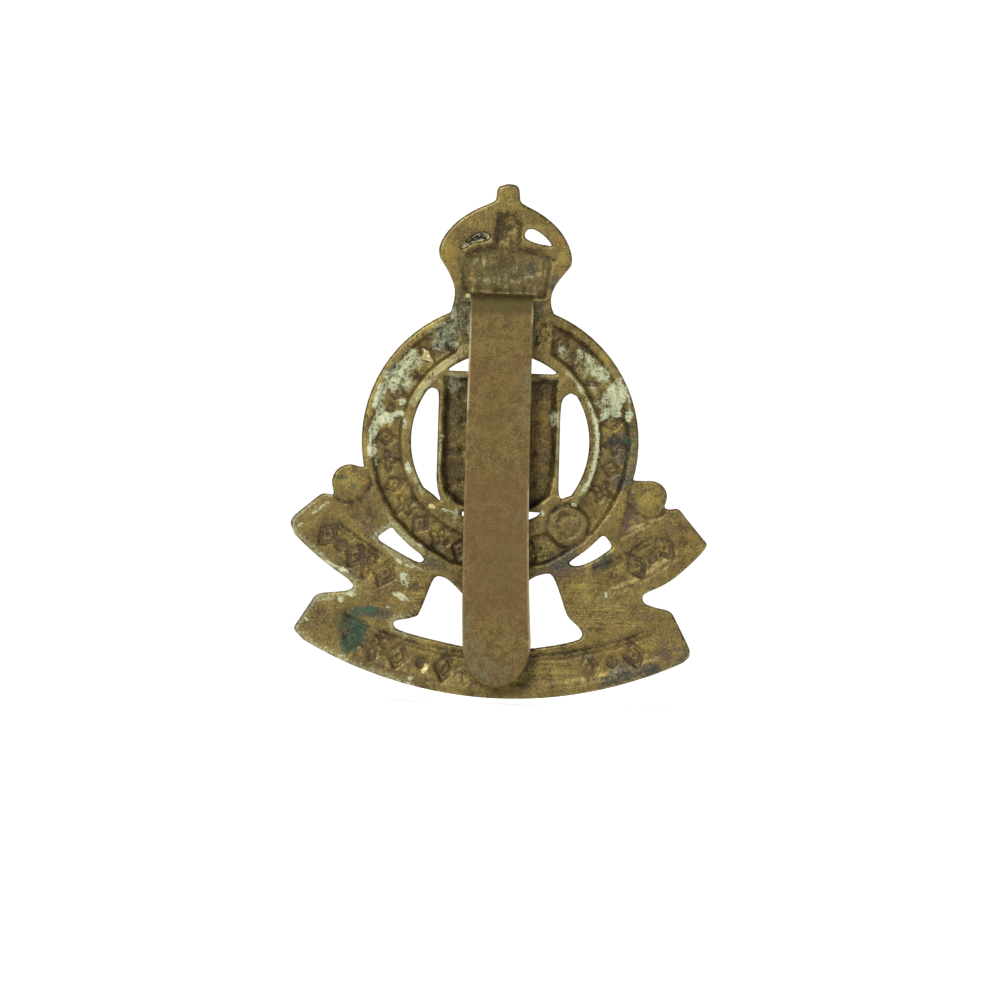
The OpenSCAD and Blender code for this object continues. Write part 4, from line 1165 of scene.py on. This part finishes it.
        # Painted shade, partly dirt, in spots lower than their surroundings; painted highlight, partly wear,
        # on ridges and along the outline.
        low, ridge = smooth(-stand - 0.02, 0.16), smooth(stand - 0.03, 0.16)
        edge = np.maximum(smooth(0.35 - rim, 0.35) * 0.7, np.where(is_front, 0.6, 0.3) * ridge)
        cuts = np.maximum(cut * back, np.where(is_front, 0.9, 0.55) * low)
        paint(mesh, "relief", smooth(depth - 0.3, 0.5) * back, cuts, edge)
        for layer, kinds, soft in (("patina", ("bloom", "teal", "bare"), 0.6),
                                   ("tarnish", ("purple", "slate", "brushed"), 0.55),
                                   ("tone", ("shade", "gold", "pale"), 0.9),
                                   ("tint", ("ash", "rust", "front"), 0.9)):
            found = []
            for kind in kinds:
                if kind == "front":
                    found.append(0.8 * (1.0 - back))
                    continue
                arcs = [a for name, a in self.rings if name == kind]
                stain = np.maximum(spots(x, z, ragged, getattr(self, kind), soft),
                                   arc_stains(x, z, ragged, arcs))
                if kind == "purple":
                    stain = np.maximum(stain, 0.75 * inked * (0.75 + 0.5 * ragged))
                if kind == "bloom":
                    crumbs = smooth(0.9 - rim, 0.6) * smooth(x - 5.0, 4.0) * smooth(-4.0 - z, 3.0)
                    stain = np.maximum(stain, 0.34 * crumbs)
                found.append(back * stain)
            paint(mesh, layer, *found)

    def dress(self, piece: bpy.types.Object) -> None:
        """Gives the plate its finish and its place in the frame."""
        piece.data.materials.append(self.finish.build())
        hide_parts("badge_plate")
        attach(piece, "badge")


@dataclass
class FoldedSlider:
    """The brass strip that is folded over at its top, brazed at one end and free at the other."""

    finish: StripBrass
    strip_t: float = 0.75
    strip_w: float = 5.86
    tip_w: float = 6.36
    tip_l: float = 4.3
    fold_r: float = 0.45
    foot_l: float = 4.0
    lean: float = 0.5
    tip_drift: float = 0.46
    braze_t: float = 0.15
    slider_x: float = 0.33
    top_gap: float = 0.026
    columns: int = 24
    rows: int = 190
    weld: float = 0.02
    bevel: float = 0.22

    def build(self) -> bpy.types.Object:
        """Builds the strip flat, then bends it over the fold.

        Returns:
            The strip as one closed mesh.
        """
        fold_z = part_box("slider_foot")[1].z / MM - self.fold_r - self.strip_t - self.top_gap
        blade_l = fold_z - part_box("slider_blade")[0].z / MM - self.tip_l
        middle_r = self.fold_r + self.strip_t / 2
        turn_l = math.pi * middle_r
        total = self.foot_l + turn_l + blade_l + self.tip_l
        bm = bmesh.new()
        bmesh.ops.create_grid(bm, x_segments=self.columns, y_segments=self.rows, size=0.5)
        for v in bm.verts:
            v.co = self.bend(v.co.x * 2, (v.co.y + 0.5) * total, turn_l, blade_l, fold_z)
        bmesh.ops.remove_doubles(bm, verts=bm.verts[:], dist=self.weld)
        bmesh.ops.recalc_face_normals(bm, faces=bm.faces[:])
        bmesh.ops.scale(bm, verts=bm.verts[:], vec=(MM, MM, MM))
        piece = new_piece("slider_strip", bm)
        thick = piece.modifiers.new("thickness", "SOLIDIFY")
        thick.thickness, thick.offset, thick.use_even_offset = self.strip_t * MM, 0.0, True
        round_off = piece.modifiers.new("round_edges", "BEVEL")
        round_off.width, round_off.segments, round_off.limit_method = self.bevel * MM, 3, "ANGLE"
        round_off.angle_limit = math.radians(50)
        finished = bpy.data.meshes.new_from_object(piece.evaluated_get(bpy.context.evaluated_depsgraph_get()))
        piece.modifiers.clear()
        piece.data = finished
        finished.shade_smooth()
        self.wear(finished, blade_l, fold_z)
        return piece

    def bend(self, side: float, along: float, turn_l: float, blade_l: float, fold_z: float) -> Vector:
        """Where a point of the flat strip lies once it is folded.

        Args:
            side: from -1 to 1 across the strip.
            along: how far it is from the foot's end, in millimetres.
            turn_l: the length of the fold, along its middle.
            blade_l: the length of the blade down to where its tip narrows.
            fold_z: the height of the fold's middle.

        Returns:
            The place, in millimetres.
        """
        middle_r = self.fold_r + self.strip_t / 2
        middle_y = self.braze_t + self.strip_t + self.fold_r
        half, drift = self.strip_w / 2, 0.0
        if along < self.foot_l:
            y, drop = middle_y - middle_r, self.foot_l - along
        elif along < self.foot_l + turn_l:
            a = math.pi * (along - self.foot_l) / turn_l
            y, drop = middle_y - middle_r * math.cos(a), -middle_r * math.sin(a)
        else:
            y, drop = middle_y + middle_r, along - self.foot_l - turn_l
            s = min(drop / blade_l, 1.0)
            half, drift = self.half_width(s), self.tip_drift * s ** 4
            past = min(max((drop - blade_l) / self.tip_l, 0.0), 1.0)
            half *= math.sqrt(1.0 - past * past)
        lean = Matrix.Rotation(math.radians(self.lean), 3, "Y")
        return lean @ Vector((side * half - drift, y, -drop)) + Vector((self.slider_x, 0, fold_z))

    def half_width(self, share: float | np.ndarray) -> float | np.ndarray:
        """Half the blade's width at a share of the way down to its tip."""
        return (self.strip_w + (self.tip_w - self.strip_w) * share * share) / 2

    def wear(self, mesh: bpy.types.Mesh, blade_l: float, fold_z: float) -> None:
        """Paints where the strip's edges show wear and painted highlight, where it is hazy or olive, and its
        painted shade on the fold and the foot.
        """
        co = coordinates(mesh) / MM
        x, z = co[:, 0], co[:, 2]
        drop = fold_z - z
        s = np.clip(drop / blade_l, 0.0, 1.0)
        half = self.half_width(s)
        side = x - self.slider_x + self.tip_drift * s ** 4 + drop * math.sin(math.radians(self.lean))
        ragged = cloud(x, z, 1.4, 4, 2.0)
        near = smooth(0.2 - half + np.abs(side) + 0.1 * ragged, 0.15)
        # Painted highlight, with wear: the pale edge line is strongest on the upper +X edge and the lower -X
        # edge.
        upper = smooth(side, 0.1) * between(z, 1.0, 12.9, 3.0)
        lower = smooth(-side, 0.1) * (between(z, -21.0, -3.0, 2.0) + 1.3 * between(z, 10.9, 12.7, 0.4))
        edge_wear_and_highlight = np.clip(near * (0.15 + upper + 0.6 * lower) * (0.9 + 0.6 * ragged), 0, 1)
        haze = spots(x, z, ragged, [
            (-1.9, -7.0, 0.8, 1.2, 0, 0.8), (-2.3, 6.0, 0.3, 7.0, 0, 0.7), (2.0, -19.6, 0.9, 2.0, 15, 0.8),
            (0.2, -21.6, 3.0, 1.4, 0, 0.9), (2.4, -16.4, 0.5, 2.4, 0, 0.7),
            (0.4, -5.9, 2.8, 0.12, 0, 0.5), (-2.6, -10.0, 0.3, 6.0, 0, 0.4)], 0.8)
        olive = spots(x, z, ragged, [(0.0, 12.6, 2.6, 1.0, 0, 1.0), (0.6, 1.5, 2.0, 4.5, 10, 0.7),
                                     (-0.5, -12.0, 1.8, 4.0, 0, 0.8), (0.2, -4.0, 1.6, 2.0, 0, 0.5)], 1.0)
        # Painted shade on the top of the fold, and on the foot behind the blade.
        fold = smooth(z - 11.2 + 0.3 * ragged, 1.0) * smooth(13.55 - z, 0.2)
        foot = smooth(1.5 - co[:, 1], 0.3)
        paint(mesh, "wear", edge_wear_and_highlight * (1 - 0.6 * foot), haze, olive)
        paint(mesh, "fold_and_foot_shade", np.maximum(fold, 0.8 * foot))

    def dress(self, piece: bpy.types.Object) -> None:
        """Gives the strip its finish, hides the CAD slider's parts, and bakes its placement into its mesh.
        """
        piece.data.materials.append(self.finish.build())
        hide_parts("slider_foot", "slider_blade")
        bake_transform(piece)


@dataclass
class BrazeJoint:
    """The pool of braze and burnt flux under and beside the slider's foot."""

    finish: Crumbs
    pitch: float = 0.12
    dome: float = 0.3
    cut_y: float = 0.075
    sunk_y: float = -0.05

    def build(self) -> bpy.types.Object:
        """Builds the pool as a thin lumpy dome on the plate.

        Returns:
            The pool as one closed mesh.
        """
        starts, ends = section(bpy.data.objects["braze_joint"], self.cut_y * MM)
        sheet = fill_outline(starts, ends, self.pitch)
        piece = thicken(sheet, "braze_pool", 1.0)
        co = coordinates(piece.data)
        x, z = co[:, 0], co[:, 2]
        rim = sheet.rim_distance(x, z)
        lumps = cloud(x, z, 0.8, 4, 1.0)
        high = self.dome * smooth(rim - 0.15 + 0.3 * lumps, 1.2) * (1.0 + 0.9 * lumps) - 0.01
        co[:, 1] = np.where(co[:, 1] > 0.5, np.clip(high, -0.01, 1.2), self.sunk_y)
        paint(piece.data, "rim", 0.7 * smooth(0.35 - rim + 0.9 * lumps, 0.5))
        move_to(piece.data, co)
        return piece

    def dress(self, piece: bpy.types.Object) -> None:
        """Gives the braze its finish and its place in the frame."""
        piece.data.materials.append(self.finish.build())
        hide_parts("braze_joint")
        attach(piece, "badge")


@dataclass
class EyeDirt:
    """The packed dirt that clogs one of the crown's eyes."""

    finish: Crumbs
    low: tuple[float, float] = (1.1, 17.2)
    high: tuple[float, float] = (4.9, 20.4)
    cut_y: float = -0.85
    back_y: float = -0.42
    front_y: float = -1.1
    pitch: float = 0.09
    chips: tuple[Spot, ...] = (
        (1.85, 19.1, 0.25, 0.45, 0, 1.0), (2.9, 19.3, 0.5, 0.14, 20, 1.0), (2.7, 18.4, 0.9, 0.16, 8, 1.0),
        (4.0, 18.0, 0.6, 0.35, -30, 1.0))

    def build(self) -> bpy.types.Object:
        """Fills the eye's own outline with a lumpy plug.

        Returns:
            The plug as one closed mesh.
        """
        starts, ends = section(bpy.data.objects["badge_plate"], self.cut_y * MM)
        both = np.concatenate([starts, ends], axis=1)
        inside = ((both > self.low * 2) & (both < self.high * 2)).all(axis=1)
        sheet = fill_outline(starts[inside], ends[inside], self.pitch)
        piece = thicken(sheet, "eye_dirt", -1.0)
        co = coordinates(piece.data)
        x, z = co[:, 0], co[:, 2]
        rim = sheet.rim_distance(x, z)
        lumps = cloud(x, z, 0.6, 4, 6.0)
        sunk = 0.35 * smooth(rim, 0.3) * (1 + 1.6 * lumps)
        back = self.back_y - sunk + 0.25 * lumps * smooth(rim, 0.2)
        co[:, 1] = np.where(co[:, 1] > -0.5, back, self.front_y + sunk)
        move_to(piece.data, co)
        chips = spots(x, z, lumps, self.chips, 0.5)
        paint(piece.data, "rim", np.maximum(chips, 0.8 * smooth(0.1 - rim + 0.3 * lumps, 0.12)))
        return piece

    def dress(self, piece: bpy.types.Object) -> None:
        """Gives the dirt its finish and its place in the frame."""
        piece.data.materials.append(self.finish.build())
        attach(piece, "badge")


@dataclass
class Studio:
    """A pale floor, soft light and a long-lens camera behind the badge."""

    distance: float = 1.2
    field_w: float = 0.0931
    aim: tuple[float, float] = (-0.0002, -0.00544)
    roll: float = 2.25

    def build(self) -> None:
        """Makes the camera, the lights, the world and the floor."""
        self.camera()
        self.light("key", (0.34, 1.0, 0.50), 0.36, 9.0)
        self.light("fill", (-0.7, 0.9, 0.1), 0.8, 1.5)
        self.light("front", (0.3, -1.0, 0.6), 0.6, 14.0)
        self.world()
        self.floor()
        view = bpy.context.scene.view_settings
        view.view_transform, view.look, view.exposure, view.gamma = "Standard", "None", 0.0, 1.0

    def camera(self) -> None:
        """Looks level along -Y at the back of the badge, turned a little about its own axis."""
        data = bpy.data.cameras.new("camera")
        data.sensor_width = 36.0
        data.lens = data.sensor_width * self.distance / self.field_w
        data.clip_start, data.clip_end = 0.01, 20.0
        camera = bpy.data.objects.new("camera", data)
        turn = math.radians(self.roll)
        right = Vector((-math.cos(turn), 0, math.sin(turn)))
        up = Vector((math.sin(turn), 0, math.cos(turn)))
        axes = Matrix((right, up, Vector((0, 1, 0)))).transposed().to_4x4()
        camera.matrix_world = Matrix.Translation((self.aim[0], self.distance, self.aim[1])) @ axes
        bpy.context.scene.collection.objects.link(camera)
        bpy.context.scene.camera = camera

    def light(self, name: str, place: Place, size: float, power: float) -> None:
        """Adds a soft square light that faces the badge."""
        data = bpy.data.lights.new(name, "AREA")
        data.size, data.energy = size, power
        lamp = bpy.data.objects.new(name, data)
        lamp.location = place
        lamp.rotation_euler = (-Vector(place)).to_track_quat("-Z", "Y").to_euler()
        bpy.context.scene.collection.objects.link(lamp)

    def world(self) -> None:
        """A white surround, dimmer as a light than it looks."""
        world = bpy.data.worlds.new("surround")
        world.use_nodes = True
        graph = Graph(world.node_tree)
        seen = graph.add("ShaderNodeLightPath").outputs["Is Camera Ray"]
        way = graph.add("ShaderNodeSeparateXYZ", {0: graph.add("ShaderNodeTexCoord").outputs["Object"]})
        level = graph.math("POWER", graph.math("ABSOLUTE", way.outputs["Y"]), 1.5)
        glow = graph.math("ADD", 0.14, graph.math("MULTIPLY", level, 0.5))
        strength = graph.math("MAXIMUM", graph.math("MULTIPLY", seen, 1.1), glow)
        surround = graph.add("ShaderNodeBackground", {"Color": (1, 1, 1, 1), "Strength": strength})
        graph.add("ShaderNodeOutputWorld", {"Surface": surround.outputs[0]})
        bpy.context.scene.world = world

    def floor(self) -> None:
        """A round pale floor just under the badge."""
        bm = bmesh.new()
        bmesh.ops.create_circle(bm, cap_ends=True, segments=96, radius=0.22)
        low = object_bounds()[0].z
        bmesh.ops.translate(bm, verts=bm.verts[:], vec=(0, 0, low - 0.0004))
        floor = new_piece("floor", bm)
        material = bpy.data.materials.new("pale_floor")
        material.use_nodes = True
        shader = material.node_tree.nodes["Principled BSDF"]
        shader.inputs["Base Color"].default_value = (0.92, 0.92, 0.92, 1)
        shader.inputs["Roughness"].default_value = 0.9
        shader.inputs["Emission Color"].default_value = (1, 1, 1, 1)
        shader.inputs["Emission Strength"].default_value = 0.45
        floor.data.materials.append(material)
        floor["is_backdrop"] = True


def main() -> None:
    """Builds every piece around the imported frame."""
    logging.basicConfig(level=logging.INFO, format="%(name)s: %(message)s")
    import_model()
    Studio().build()
    for make in (metal_grain_group, brushed_lines_group, crust_group):
        make()
    for part in (StruckPlate(StruckBrass()), FoldedSlider(StripBrass()), BrazeJoint(FLUX), EyeDirt(DIRT)):
        piece = part.build()
        part.dress(piece)
        LOG.info("%s: %d faces", piece.name, len(piece.data.polygons))


if __name__ == "__main__":
    main()
